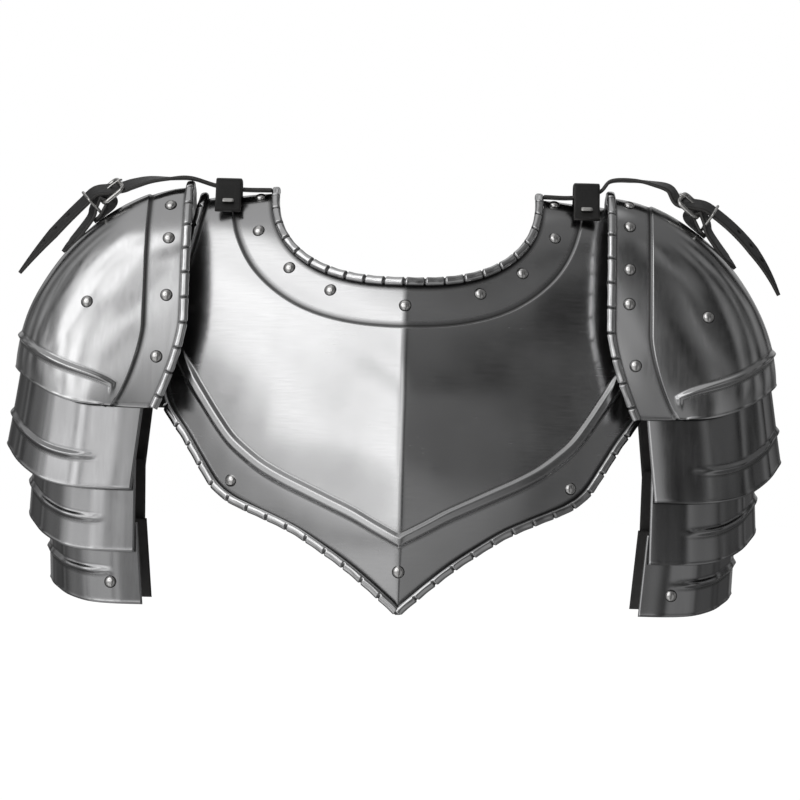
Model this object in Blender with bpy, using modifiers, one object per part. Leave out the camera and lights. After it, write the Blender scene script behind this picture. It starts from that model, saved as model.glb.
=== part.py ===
"""A steel gorget plate with a pair of pauldrons strapped and buckled to it, as worn.

Metres. +Z is up, +X is the wearer's left and -Y is the front. The origin lies midway between the
two neck corners, at the level of the shoulder tops. right_ pieces lie at -X, left_ pieces at +X.
"""

import math

import bmesh
import bpy
import numpy as np
from mathutils import Matrix, Vector
from mathutils.bvhtree import BVHTree

# Sheet, leather and clearances
STEEL = 0.0012
STRAP_LEATHER = 0.0028
INNER_LEATHER = 0.0022
GAP = 0.0003
ROLL = 0.0065
ROLL_ANGLES = (150, 95, 40, -15, -65)
SHARP_ANGLE = math.radians(35)
WELD = 0.00001
SLOPE_STEP = 0.0005

# Gorget plate
NECK_HALF_WIDTH = 0.0984
NECK_DROP = 0.067
NECK_SQUARENESS = 2.5
NECK_BAND = 0.036
BAND_STEP = 0.0014
STEP_RUN = 0.003
PLATE_HALF_WIDTH = 0.1847
PLATE_DROP = 0.3214
PLATE_DEPTH = 0.123
SHOULDER_BACK = 0.012
SHOULDER_HALF_WIDTH = 0.160
SHOULDER_FALL = 0.008
KEEL_SLOPE = 0.405
SIDE_CURVE = 0.21
DEEPEST_SHARE = 0.8
DROP_CURVE = 1.8
BEAD_WIDTH = 0.0095
BEAD_HEIGHT = 0.0032
PLATE_COLUMNS = 22

# Each row is a station from the keel's tip to the shoulder's end. outline and bead are shares of
# the plate's half width and drop, and neck is a share of the neckline's quarter turn.
STATION_COLUMNS = ("outline_x", "outline_z", "bead_x", "bead_z", "neck")
STATIONS = (
    (0.000, 1.000, 0.000, 0.821, 0.00),
    (0.123, 0.938, 0.100, 0.791, 0.07),
    (0.225, 0.891, 0.190, 0.763, 0.12),
    (0.328, 0.851, 0.285, 0.738, 0.17),
    (0.430, 0.815, 0.380, 0.713, 0.22),
    (0.529, 0.789, 0.475, 0.688, 0.27),
    (0.623, 0.767, 0.565, 0.660, 0.32),
    (0.704, 0.746, 0.640, 0.628, 0.36),
    (0.775, 0.713, 0.700, 0.597, 0.39),
    (0.845, 0.652, 0.755, 0.556, 0.42),
    (0.899, 0.602, 0.810, 0.510, 0.45),
    (0.990, 0.525, 0.872, 0.454, 0.50),
    (1.000, 0.460, 0.930, 0.390, 0.57),
    (0.985, 0.360, 0.945, 0.320, 0.66),
    (0.950, 0.240, 0.910, 0.220, 0.78),
    (0.900, 0.110, 0.860, 0.110, 0.89),
    (0.866, 0.025, 0.810, 0.025, 1.00),
)
BEAD_FADES_FROM = 11.0
BEAD_FADES_OVER = 1.5

# Shoulder cop
COLLAR_TUCK = 0.001
COLLAR_X = SHOULDER_HALF_WIDTH - COLLAR_TUCK
COLLAR_LEG_FLARE = 0.021
COLLAR_FLARE_DROP = 0.100
COLLAR_BAND = 0.034
ARM_Y = 0.008
COP_PEAK = 0.0025
COP_DROP = 0.1725
COP_HALF_DEPTH = 0.066
COP_FRONT_X = COLLAR_X + 0.063
COP_OUTER_X = COLLAR_X + 0.135
COP_OUTER_RISE = 0.030
COP_CORNER_RISE = 0.002
DOME_CURVE = 1.8
HOOP_CURVE = 2.3
COP_COLUMNS = 17
LOW_BEAD_WIDTH = 0.008
LOW_BEAD_HEIGHT = 0.0022
LOW_BEAD_INSET = 0.024
PAULDRON_OUT = {"right": 0.0055, "left": -0.0055}

# Lames. front_x and outer_x are how far the hoop's front edge and outside lie from the centre
# line, depth is its half depth, and front_z and outer_z are the drops of its lower edge, all as
# shares of LAME_REACH, COP_HALF_DEPTH and LAME_DROP. top_ is the hidden upper edge.
LAME_PROUD = 0.005
LAME_REACH = COP_OUTER_X + LAME_PROUD
LAME_DROP = 0.324
LAME_OVERLAP = 0.022
LAME_COLUMNS = 13
LAME_COLUMN_NAMES = ("name", "top_front_x", "top_outer_x", "top_depth", "front_x", "outer_x", "depth",
                     "front_z", "outer_z")
LAMES = (
    ("upper_lame", 0.632, 0.958, 0.895, 0.662, 1.000, 1.030, 0.716, 0.614),
    ("middle_lame", 0.655, 0.926, 0.890, 0.652, 0.940, 0.955, 0.862, 0.778),
    ("lower_lame", 0.648, 0.890, 0.850, 0.630, 0.880, 0.870, 0.985, 0.932),
)

# Rivets. The neck's are set by x and drop as shares of the neck band's middle line, the border's as
# shares of the plate's half width and drop, and the collar's by drop as a share of the cop's.
RIVET_HEAD = 0.0042
RIVET_DOME = 0.0026
RIVET_SHANK = 0.0015
RIVET_SIDES = 8
RIVET_TAIL = 0.0012
NECK_RIVETS = ((-0.974, 0.072), (-0.974, 0.382), (-0.762, 0.714), (-0.487, 0.912), (0.0, 1.036),
               (0.487, 0.912), (0.762, 0.714), (0.974, 0.382), (0.974, 0.072))
BORDER_RIVETS = ((-0.698, 0.694), (0.0, 0.893), (0.698, 0.694))
COLLAR_RIVETS = {"right": (0.096, 0.247, 0.501, 0.773), "left": (0.048, 0.145, 0.337, 0.490, 0.762)}
COP_RIVET_X = COP_OUTER_X * 0.803
COP_RIVET_DROP_SHARE = 0.541
LAME_RIVET_X = LAME_REACH * 0.712
LAME_RIVET_Z = -LAME_DROP * 0.935

# Inner leathers
LEATHER_WIDTH = 0.022
LEATHER_TOP = 0.012
LEATHER_END = 0.009

# Straps and buckles
STRAP_WIDTH = 0.020
STRAP_LANE = 0.006
TAB_WIDTH = 0.020
TAB_X = NECK_HALF_WIDTH + (SHOULDER_HALF_WIDTH - NECK_HALF_WIDTH) * 0.643
TAB_DROP = 0.0150
STAPLE_WIDTH = 0.009
STAPLE_HEIGHT = 0.0035
STAPLE_THICKNESS = 0.0012
BUCKLE_X = COLLAR_X + 0.0725
BUCKLE_STAND = 0.0160
BUCKLE_LENGTH = 0.019
BUCKLE_WIDTH = 0.027
BUCKLE_TILT = math.radians(41)
WIRE = 0.0028
FRAME_CORNER = 0.003
PRONG_WIRE = 0.0020
PRONG_OVERHANG = 0.003
PRONG_BOW = 0.0030
KEEPER_WIRE = 0.0022
KEEPER_AT = 0.0075
KEEPER_DEPTH = 0.0110
CHAPE_REACH = 0.031
CHAPE_WIDTH = 0.018
CHAPE_FOOT = 0.007
CHAPE_OFFSET = 0.004
TIP_TAPER = 0.010
# The chape's middle line round the hinge bar, along and up from the bar's centre, as shares of
# the line's turn about the bar
CHAPE_TURNS = ((-1.62, -1.91), (-1.0, 0.0), (-0.7, 0.7), (0.0, 1.0), (0.9, 0.5), (2.65, -0.44), (4.7, -1.76))
STRAP_SLOT_SHARE = 0.76
STRAP_SLOT_DEPTH = 0.020
CHAPE_SLOT_LENGTH = 0.0085
CHAPE_SLOT_DEPTH = 0.0075
TAB_CORNER = 0.0020
TAB_SLACK = 0.0012
# The strap's height above the shoulder level as shares of STRAP_RISE, from the neck corner to the
# buckle: its start, the tab's two ends, the collar's roll, the band, and two more towards the buckle
STRAP_RISE = 0.015
STRAP_HEIGHTS = {
    "right": (0.11, 0.28, 0.20, 0.55, 0.50, 0.41, 0.17),
    "left": (0.23, 0.18, 0.36, 0.93, 1.00, 0.87, 0.63),
}
TAIL_LENGTH = {"right": 0.076, "left": 0.082}
TAIL_ANGLES = {"right": (44, 53), "left": (34, 66)}

SIDES = {"right": -1.0, "left": 1.0}

STEEL_FINISH = ((0.62, 0.62, 0.63), 0.28, 1.0)
NICKEL_FINISH = ((0.74, 0.73, 0.71), 0.2, 1.0)
LEATHER_FINISH = ((0.012, 0.011, 0.011), 0.5, 0.0)


def clear_scene():
    for item in list(bpy.data.objects):
        bpy.data.objects.remove(item, do_unlink=True)


def new_collection(name, rendered=True):
    collection = bpy.data.collections.new(name)
    collection.hide_render = not rendered
    bpy.context.scene.collection.children.link(collection)
    return collection


def finish(piece, look):
    """Gives the piece its own material from (colour, roughness, metallic)."""
    colour, roughness, metallic = look
    material = bpy.data.materials.new(piece.name + "_finish")
    material.use_nodes = True
    shader = material.node_tree.nodes["Principled BSDF"]
    shader.inputs["Base Color"].default_value = (*colour, 1)
    shader.inputs["Roughness"].default_value = roughness
    shader.inputs["Metallic"].default_value = metallic
    piece.data.materials.clear()
    piece.data.materials.append(material)


def place(name, data, look, collection):
    piece = bpy.data.objects.new(name, data)
    collection.objects.link(piece)
    if look:
        finish(piece, look)
    return piece


def through(rows, at):
    """Reads a Catmull-Rom curve through the rows at fractional row numbers."""
    rows = np.asarray(rows, float)
    padded = np.vstack([2 * rows[0] - rows[1], rows, 2 * rows[-1] - rows[-2]])
    low = np.clip(np.floor(at).astype(int), 0, len(rows) - 2)
    t = (np.asarray(at) - low)[:, None]
    a, b, c, d = (padded[low + i] for i in range(4))
    return b + 0.5 * t * (c - a + t * (2 * a - 5 * b + 4 * c - d + t * (3 * (b - c) + d - a)))


def unit(vectors):
    return vectors / np.linalg.norm(vectors, axis=-1, keepdims=True)


def quarter(angle, curve):
    """Sine and cosine of a superellipse's turn, where a curve of 2 is a plain ellipse."""
    sine = np.abs(np.sin(angle)) ** (2 / curve)
    cosine = np.sign(np.cos(angle)) * np.abs(np.cos(angle)) ** (2 / curve)
    return sine, cosine


def normals_of(grid):
    return unit(np.cross(np.gradient(grid, axis=0), np.gradient(grid, axis=1)))


def along(lines, first, middle, last):
    """Rows across each line of a dense grid: at lengths first from its start and last from its
    end, with evenly shared middle rows between. Where a line is short, the rows close up."""
    steps = np.linalg.norm(np.diff(lines, axis=1), axis=2)
    lengths = np.hstack([np.zeros((len(lines), 1)), np.cumsum(steps, axis=1)])
    rows = np.empty((len(lines), len(first) + middle + len(last), 3))
    for line, length, row in zip(lines, lengths, rows):
        total = length[-1]
        squeeze = min(1.0, 0.92 * (total - first[-1]) / last[0]) if last[0] else 1.0
        start = first[-1]
        end = total - last[0] * squeeze
        between = start + (end - start) * np.arange(1, middle + 1) / (middle + 1)
        wanted = np.concatenate([first, between, total - np.array(last) * squeeze])
        for axis in range(3):
            row[:, axis] = np.interp(wanted, length, line[:, axis])
    return rows


def mesh_from(name, points, faces):
    """A mesh whose faces are turned outwards by the sign of the volume that they enclose."""
    data = bpy.data.meshes.new(name)
    data.from_pydata(points.tolist(), [], faces)
    work = bmesh.new()
    work.from_mesh(data)
    if work.calc_volume(signed=True) < 0:
        bmesh.ops.reverse_faces(work, faces=work.faces[:])
    bmesh.ops.triangulate(work, faces=work.faces[:])
    work.to_mesh(data)
    work.free()
    data.shade_smooth()
    data.set_sharp_from_angle(angle=SHARP_ANGLE)
    return data


def rolled_section(edge, away, up, thickness):
    """Points round a roll that stands on the outer face, from the outer face to the inner one."""
    radius = ROLL / 2
    turn = np.radians(ROLL_ANGLES)
    out = radius + radius * np.cos(turn)
    rise = radius - thickness + radius * np.sin(turn)
    return edge[:, None] + out[None, :, None] * away[:, None] + rise[None, :, None] * up[:, None]


def loft_plate(name, grid, outward, thickness, roll_first, roll_last, open_first=False):
    """A sheet of this thickness under the grid, with a roll along its first and last rows. It is
    lofted through one closed section for each column, and its ends are capped."""
    inner = grid - outward * thickness
    rings = [grid]
    if roll_last:
        rings.append(rolled_section(grid[:, -1], unit(grid[:, -1] - grid[:, -2]), outward[:, -1], thickness))
    rings.append(inner[:, ::-1])
    if roll_first:
        roll = rolled_section(grid[:, 0], unit(grid[:, 0] - grid[:, 1]), outward[:, 0], thickness)
        rings.append(roll[:, ::-1])
    ring = np.concatenate(rings, axis=1)
    columns, count = ring.shape[:2]
    rows = grid.shape[1]
    faces = []
    for i in range(columns - 1):
        for j in range(count):
            k = (j + 1) % count
            faces.append((i * count + j, i * count + k, (i + 1) * count + k, (i + 1) * count + j))
    last_roll = len(ROLL_ANGLES) if roll_last else 0
    inner_end = rows + last_roll
    for base in ((columns - 1) * count,) if open_first else (0, (columns - 1) * count):
        flip = -1 if base else 1
        for j in range(rows - 1):
            far = inner_end + rows - 1 - j
            faces.append(tuple(base + k for k in (j, far, far - 1, j + 1))[::flip])
        if roll_last:
            faces.append(tuple(base + k for k in range(rows - 1, inner_end + 1))[::-flip])
        if roll_first:
            faces.append(tuple(base + k for k in (*range(inner_end + rows - 1, count), 0))[::-flip])
    return mesh_from(name, ring.reshape(-1, 3), faces)


def sheet_mesh(name, grid, outward):
    """An open surface whose faces look the way that outward points."""
    columns, rows = grid.shape[:2]
    faces = []
    for i in range(columns - 1):
        for j in range(rows - 1):
            a = i * rows + j
            faces.append((a, a + 1, a + rows + 1, a + rows))
    data = bpy.data.meshes.new(name)
    corner = grid[0, 0]
    turn = np.cross(grid[0, 1] - corner, grid[1, 0] - corner)
    if turn @ outward < 0:
        faces = [face[::-1] for face in faces]
    data.from_pydata(grid.reshape(-1, 3).tolist(), [], faces)
    data.shade_smooth()
    return data


def thicken(piece, thickness):
    solid = piece.modifiers.new("thickness", "SOLIDIFY")
    solid.thickness = thickness
    solid.offset = -1
    solid.use_even_offset = True
    piece.modifiers.new("triangles", "TRIANGULATE")


def cut(piece, cutters):
    for cutter in cutters:
        hole = piece.modifiers.new(cutter.name, "BOOLEAN")
        hole.operation = "DIFFERENCE"
        hole.solver = "EXACT"
        hole.object = cutter


# The gorget plate's surface

def shoulder_z(x):
    """Height of the shoulder edge, level to the neck corner and falling outside it."""
    past = np.clip((np.abs(x) - NECK_HALF_WIDTH) / (SHOULDER_HALF_WIDTH - NECK_HALF_WIDTH), 0, None)
    return -SHOULDER_FALL * past**1.5


def side_share(x):
    """How much of the depth is left at x: a crease at the keel and a curve to the sides."""
    across = np.abs(x) / PLATE_HALF_WIDTH
    return 1 - KEEL_SLOPE * across - SIDE_CURVE * across**2


def plate_y(x, z):
    """Depth of the plate's outer face, which rounds over to the back at the shoulder edge."""
    drop = np.clip((shoulder_z(x) - z) / PLATE_DROP, 0, None)
    bulge = 1 - np.abs(1 - drop / DEEPEST_SHARE) ** DROP_CURVE
    return SHOULDER_BACK - (PLATE_DEPTH + SHOULDER_BACK) * side_share(x) * np.sqrt(np.clip(bulge, 0, None))


def plate_z(x, y):
    """The height near the shoulder edge at which the outer face lies at y, from plate_y."""
    bulge = ((SHOULDER_BACK - y) / ((PLATE_DEPTH + SHOULDER_BACK) * side_share(x))) ** 2
    return shoulder_z(x) - PLATE_DROP * DEEPEST_SHARE * (1 - (1 - bulge) ** (1 / DROP_CURVE))


def gorget_grid():
    """Rows from the neckline to the lower edge for columns from the keel to the shoulder edge.
    The first three rows are the sunk neck band, and the eighth is the bead's top."""
    share = np.linspace(0, 1, PLATE_COLUMNS)
    station = (len(STATIONS) - 1) * (1 - (1 - share) ** 1.6)
    read = dict(zip(STATION_COLUMNS, through(STATIONS, station).T))
    sine, cosine = quarter(read["neck"] * math.pi / 2, NECK_SQUARENESS)
    neck = np.stack([NECK_HALF_WIDTH * sine, shoulder_z(NECK_HALF_WIDTH) - NECK_DROP * cosine], axis=1)
    outline = np.stack([PLATE_HALF_WIDTH * read["outline_x"], -PLATE_DROP * read["outline_z"]], axis=1)
    bead = np.stack([PLATE_HALF_WIDTH * read["bead_x"], -PLATE_DROP * read["bead_z"]], axis=1)
    neck[0, 0] = outline[0, 0] = bead[0, 0] = 0
    neck[-1, 1] = shoulder_z(neck[-1, 0])
    outline[-1] = SHOULDER_HALF_WIDTH, shoulder_z(SHOULDER_HALF_WIDTH)
    bead[-1, 1] = shoulder_z(bead[-1, 0])
    step = neck + unit(bead - neck) * NECK_BAND
    inward = unit(bead - outline)
    flat = [
        neck + unit(bead - neck) * ROLL,
        neck + unit(bead - neck) * NECK_BAND / 2,
        step,
        step + unit(bead - step) * STEP_RUN,
    ]
    bead_start = bead + unit(step - bead) * BEAD_WIDTH / 2
    flat += [flat[3] + (bead_start - flat[3]) * k / 3 for k in (1, 2)]
    flat += [bead_start, bead, bead - inward * BEAD_WIDTH / 2, outline + inward * ROLL]
    flat = np.stack(flat, axis=1)
    flat[-1, :, 1] = shoulder_z(flat[-1, :, 0])
    x, z = flat[..., 0], flat[..., 1]
    grid = np.stack([x, plate_y(x, z), z], axis=2)
    outward = normals_of(grid)
    outward *= np.sign((outward * (0, -1, 0.3)).sum(axis=2, keepdims=True))
    outward[0, :, 0] = 0
    outward = unit(outward)
    fade = np.clip(1 - (station - BEAD_FADES_FROM) / BEAD_FADES_OVER, 0, 1)
    bead_top = 7
    band = slice(0, 3)
    grid[:, bead_top] += outward[:, bead_top] * BEAD_HEIGHT * fade[:, None]
    grid[:, band] -= outward[:, band] * BAND_STEP
    grid[0, :, 0] = 0
    return grid, outward


def build_gorget(collection):
    grid, outward = gorget_grid()
    data = loft_plate("gorget_plate", grid, outward, STEEL, True, True, open_first=True)
    plate = place("gorget_plate", data, STEEL_FINISH, collection)
    mirror = plate.modifiers.new("other half", "MIRROR")
    mirror.merge_threshold = WELD
    return plate


# The pauldrons, worked out on the +X side and then turned to their own side

def collar_x(z, out):
    """The collar edge's distance from the centre line, which flares out low down."""
    low = np.clip((-COLLAR_FLARE_DROP - z) / (COP_DROP - COP_PEAK - COLLAR_FLARE_DROP), 0, 1)
    return COLLAR_X + out + COLLAR_LEG_FLARE * low**1.5


def hoop_turn(columns):
    """Angles from a hoop's front edge over its outside to its back edge."""
    return np.linspace(0, math.pi, columns)


def cop_lines(columns, out, dense=60):
    """Lines from the collar edge over the dome to the lower edge, each in a plane of one depth."""
    angle = hoop_turn(columns)
    sine, cosine = quarter(angle, HOOP_CURVE)
    y = ARM_Y - COP_HALF_DEPTH * cosine
    front_z = COP_PEAK - COP_DROP
    top_z = front_z + COP_DROP * sine
    top_x = collar_x(top_z, out)
    low_x = COP_FRONT_X + out + (COP_OUTER_X - COP_FRONT_X) * sine
    low_z = front_z + COP_CORNER_RISE + (COP_OUTER_RISE - COP_CORNER_RISE) * np.sin(angle) ** 2
    top_z = np.maximum(top_z, low_z - COP_CORNER_RISE)
    rise, run = quarter(np.linspace(0, math.pi / 2, dense), DOME_CURVE)
    x = top_x[:, None] + (low_x - top_x)[:, None] * rise
    z = low_z[:, None] + (top_z - low_z)[:, None] * run
    return np.stack([x, np.repeat(y[:, None], dense, axis=1), z], axis=2)


def outward_from(grid, inside):
    outward = normals_of(grid)
    return outward * np.sign((outward * (grid - inside)).sum(axis=2, keepdims=True))


def low_bead_fade(columns):
    """The low beads run out towards a hoop's front and back edges."""
    return np.clip(np.sin(hoop_turn(columns)) * 2.2 - 0.5, 0, 1)[:, None]


def build_cop(side, sign, collection):
    half_bead = LOW_BEAD_WIDTH / 2
    first = [ROLL, COLLAR_BAND / 2, COLLAR_BAND, COLLAR_BAND + STEP_RUN]
    last = [LOW_BEAD_INSET + half_bead, LOW_BEAD_INSET, LOW_BEAD_INSET - half_bead, 0]
    grid = along(cop_lines(COP_COLUMNS, PAULDRON_OUT[side]), first, 3, last)
    middle = np.array([(COLLAR_X + COP_OUTER_X) / 2, ARM_Y, COP_PEAK - COP_DROP])
    outward = outward_from(grid, middle)
    bead_top = len(first) + 3 + last.index(LOW_BEAD_INSET)
    band = slice(0, 3)
    grid[:, bead_top] += outward[:, bead_top] * LOW_BEAD_HEIGHT * low_bead_fade(COP_COLUMNS)
    grid[:, band] -= outward[:, band] * BAND_STEP
    turn = np.array([sign, 1, 1])
    name = side + "_cop"
    data = loft_plate(name, grid * turn, outward * turn, STEEL, True, False)
    return place(name, data, STEEL_FINISH, collection)


def lame_lines(lame, above_z, out, columns, dense=30):
    """Straight lines from a lame's hidden upper edge to its lower edge, for each hoop angle."""
    angle = hoop_turn(columns)
    sine, cosine = quarter(angle, HOOP_CURVE)
    rise = np.sin(angle) ** 4
    low_z = -LAME_DROP * (lame["front_z"] + (lame["outer_z"] - lame["front_z"]) * rise)
    top_z = above_z + LAME_OVERLAP
    edges = []
    for prefix, z in (("top_", top_z), ("", low_z)):
        front = LAME_REACH * lame[prefix + "front_x"]
        outer = LAME_REACH * lame[prefix + "outer_x"]
        x = front + out + (outer - front) * sine
        y = ARM_Y - COP_HALF_DEPTH * lame[prefix + "depth"] * cosine
        edges.append(np.stack([x, y, z], axis=1))
    share = np.linspace(0, 1, dense)[None, :, None]
    return edges[0][:, None] * (1 - share) + edges[1][:, None] * share


def build_lames(side, sign, collection):
    """Three hooped plates, each tucked inside the lower edge of the one above."""
    out = PAULDRON_OUT[side]
    angle = hoop_turn(LAME_COLUMNS)
    above_z = COP_PEAK - COP_DROP + COP_OUTER_RISE * np.sin(angle) ** 2
    made = []
    for row in LAMES:
        lame = dict(zip(LAME_COLUMN_NAMES, row))
        lines = lame_lines(lame, above_z, out, LAME_COLUMNS)
        above_z = lines[:, -1, 2]
        half_bead = LOW_BEAD_WIDTH / 2
        last = [LOW_BEAD_INSET + half_bead, LOW_BEAD_INSET, LOW_BEAD_INSET - half_bead, 0]
        grid = along(lines, [0.0], 1, last)
        bead_top = 2 + last.index(LOW_BEAD_INSET)
        middle = np.array([(COLLAR_X + COP_OUTER_X) / 2, ARM_Y, grid[..., 2].mean()])
        outward = outward_from(grid, middle)
        grid[:, bead_top] += outward[:, bead_top] * LOW_BEAD_HEIGHT * low_bead_fade(LAME_COLUMNS)
        turn = np.array([sign, 1, 1])
        name = f"{side}_{lame['name']}"
        look_out = outward[0, 0] * turn
        piece = place(name, sheet_mesh(name, grid * turn, look_out), STEEL_FINISH, collection)
        thicken(piece, STEEL)
        made.append(piece)
    return made


def tree_of(piece):
    return BVHTree.FromObject(piece, bpy.context.evaluated_depsgraph_get())


def first_hit(trees, start, way):
    hits = [tree.ray_cast(Vector(start), Vector(way)) for tree in trees]
    hits = [hit for hit in hits if hit[0] is not None]
    return min(hits, key=lambda hit: hit[3])


def build_leather(name, plates, way, line, levels, collection):
    """A strip down the inside of the plates, set against whichever plate lies nearest the arm."""
    trees = [tree_of(plate) for plate in plates]
    half = LEATHER_WIDTH / 2
    rows = []
    for z in levels:
        x = line(z)
        row = []
        for across in (-half, half):
            spot = first_hit(trees, (x + across, ARM_Y, z), (0, way, 0))[0]
            row.append((spot.x, spot.y - way * 3 * GAP, spot.z))
        rows.append(row)
    data = sheet_mesh(name, np.array(rows), np.array([0, way, 0]))
    leather = place(name, data, LEATHER_FINISH, collection)
    thicken(leather, INNER_LEATHER)
    return leather


def rivet_profile(name, shank):
    """A turned rivet: its domed head above z = 0 and its shank below."""
    outline = [(0, RIVET_DOME), (RIVET_HEAD * 0.62, RIVET_DOME * 0.76), (RIVET_HEAD, 0),
               (RIVET_SHANK, 0), (RIVET_SHANK, -shank), (0, -shank)]
    data = bpy.data.meshes.new(name)
    edges = [(i, i + 1) for i in range(len(outline) - 1)]
    data.from_pydata([(x, 0, z) for x, z in outline], edges, [])
    return data


def add_rivet(name, data, pose, collection):
    rivet = place(name, data, None, collection)
    screw = rivet.modifiers.new("turned", "SCREW")
    screw.steps = screw.render_steps = RIVET_SIDES
    screw.use_merge_vertices = True
    screw.merge_threshold = WELD
    rivet.matrix_world = pose
    return rivet


def seat(plate, start, way):
    """A rivet's pose: on the face that a ray meets, raised until its head clears every facet."""
    tree = tree_of(plate)
    spot, normal, _, _ = tree.ray_cast(Vector(start), Vector(way))
    side = normal.orthogonal().normalized()
    other = normal.cross(side)
    raise_by = 0.0
    for step in range(16):
        turn = step * math.tau / 16
        rim = spot + RIVET_HEAD * (side * math.cos(turn) + other * math.sin(turn)) + normal * 0.01
        hit = tree.ray_cast(rim, -normal)[0]
        if hit is not None:
            raise_by = max(raise_by, (hit - spot).dot(normal))
    frame = Matrix((side, other, normal)).transposed().to_4x4()
    frame.translation = spot + normal * (raise_by + GAP)
    return frame


def hole_cutter(name, poses, depth, collection):
    """One helper mesh with a round cutter through the sheet at each pose."""
    work = bmesh.new()
    for pose in poses:
        move = pose @ Matrix.Translation((0, 0, -depth / 2 + RIVET_HEAD))
        bmesh.ops.create_cone(work, cap_ends=True, segments=RIVET_SIDES, radius1=RIVET_SHANK + GAP,
                              radius2=RIVET_SHANK + GAP, depth=depth + 2 * RIVET_HEAD, matrix=move)
    data = bpy.data.meshes.new(name)
    work.to_mesh(data)
    work.free()
    return helper(name, data, collection)


def helper(name, data, collection):
    cutter = bpy.data.objects.new(name, data)
    cutter.hide_render = True
    cutter.display_type = "WIRE"
    collection.objects.link(cutter)
    return cutter


def rivet_plate(plate, names, spots, way, shank, parts, cutters, also=()):
    """Drills the plate, and what lies under it, and sets a named rivet in each hole."""
    poses = [seat(plate, spot, way) for spot in spots]
    cutter = hole_cutter(names[0] + "_holes", poses, shank, cutters)
    data = rivet_profile(names[0], shank)
    for name, pose in zip(names, poses):
        finish(add_rivet(name, data, pose, parts), STEEL_FINISH)
    for piece in (plate, *also):
        cut(piece, [cutter])


def build_gorget_rivets(plate, parts, cutters):
    shank = STEEL + GAP + RIVET_TAIL
    names = [f"neck_rivet_{i + 1}" for i in range(len(NECK_RIVETS))]
    names += [f"border_rivet_{i + 1}" for i in range(len(BORDER_RIVETS))]
    spots = []
    for x, z in NECK_RIVETS:
        across, down = NECK_HALF_WIDTH + NECK_BAND / 2, NECK_DROP + NECK_BAND / 2
        spots.append((x * across, -2 * PLATE_DEPTH, -z * down))
    for x, z in BORDER_RIVETS:
        spots.append((x * PLATE_HALF_WIDTH, -2 * PLATE_DEPTH, -z * PLATE_DROP))
    rivet_plate(plate, names, spots, (0, 1, 0), shank, parts, cutters)


# Straps and buckles, worked out at +X in the upright plane along the shoulder

def ridge_z(x, out):
    """Height of the cop's top line at a distance from the centre line."""
    start, end = COLLAR_X + out, COP_OUTER_X + out
    across = np.clip((x - start) / (end - start), 0, 1)
    low = COP_PEAK - COP_DROP + COP_OUTER_RISE
    return low + (COP_PEAK - low) * (1 - across**DOME_CURVE) ** (1 / DOME_CURVE)


def ridge_point(x, lift, out):
    """A point that stands off the cop's top line, square to it."""
    slope = (ridge_z(x + SLOPE_STEP, out) - ridge_z(x - SLOPE_STEP, out)) / (2 * SLOPE_STEP)
    normal = np.array([-slope, 1]) / math.hypot(slope, 1)
    return np.array([x, ridge_z(x, out)]) + normal * lift


def support_z(x, out):
    """The highest steel under the strap: the plate and its roll, or the cop and its collar roll."""
    collar = COLLAR_X + out
    if x >= collar:
        return float(ridge_z(x, out)) + (ROLL - STEEL - BAND_STEP) * (x <= collar + ROLL)
    return float(shoulder_z(x)) + (ROLL - STEEL) * (x >= SHOULDER_HALF_WIDTH - ROLL)


def buckle_frame_of(out):
    """The hinge bar's place and the buckle's two directions: outwards along it and up from it."""
    x = BUCKLE_X + out
    bar = np.array([x, ridge_z(x, out) + BUCKLE_STAND])
    outwards = np.array([math.cos(BUCKLE_TILT), -math.sin(BUCKLE_TILT)])
    up = np.array([math.sin(BUCKLE_TILT), math.cos(BUCKLE_TILT)])
    return bar, outwards, up


def strip(name, route, width, lane, sign, samples, taper_start, taper_end, collection):
    """A flat strap whose width runs front to back, along a smooth route through points (x, z)."""
    dense = through(route, np.linspace(0, len(route) - 1, 400))
    length = np.concatenate([[0], np.cumsum(np.linalg.norm(np.diff(dense, axis=0), axis=1))])
    at = np.linspace(0, length[-1], samples)
    line = np.stack([np.interp(at, length, dense[:, k]) for k in (0, 1)], axis=1)
    way = unit(np.gradient(line, axis=0))
    up = np.stack([-way[:, 1], way[:, 0]], axis=1) * STRAP_LEATHER / 2
    half = np.full(samples, width / 2)
    if taper_start:
        half *= np.clip(0.2 + 0.8 * at / taper_start, 0, 1)
    if taper_end:
        half *= np.clip(0.2 + 0.8 * (length[-1] - at) / taper_end, 0, 1)
    top, low = line + up, line - up
    ring = np.stack([
        np.stack([top[:, 0], lane - half, top[:, 1]], axis=1),
        np.stack([top[:, 0], lane + half, top[:, 1]], axis=1),
        np.stack([low[:, 0], lane + half, low[:, 1]], axis=1),
        np.stack([low[:, 0], lane - half, low[:, 1]], axis=1),
    ], axis=1) * (sign, 1, 1)
    faces = [(0, 1, 2, 3), tuple(4 * samples - k for k in (1, 2, 3, 4))]
    for i in range(samples - 1):
        for j in range(4):
            k = (j + 1) % 4
            faces.append((4 * i + j, 4 * i + 4 + j, 4 * i + 4 + k, 4 * i + k))
    return place(name, mesh_from(name, ring.reshape(-1, 3), faces), LEATHER_FINISH, collection)


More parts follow.
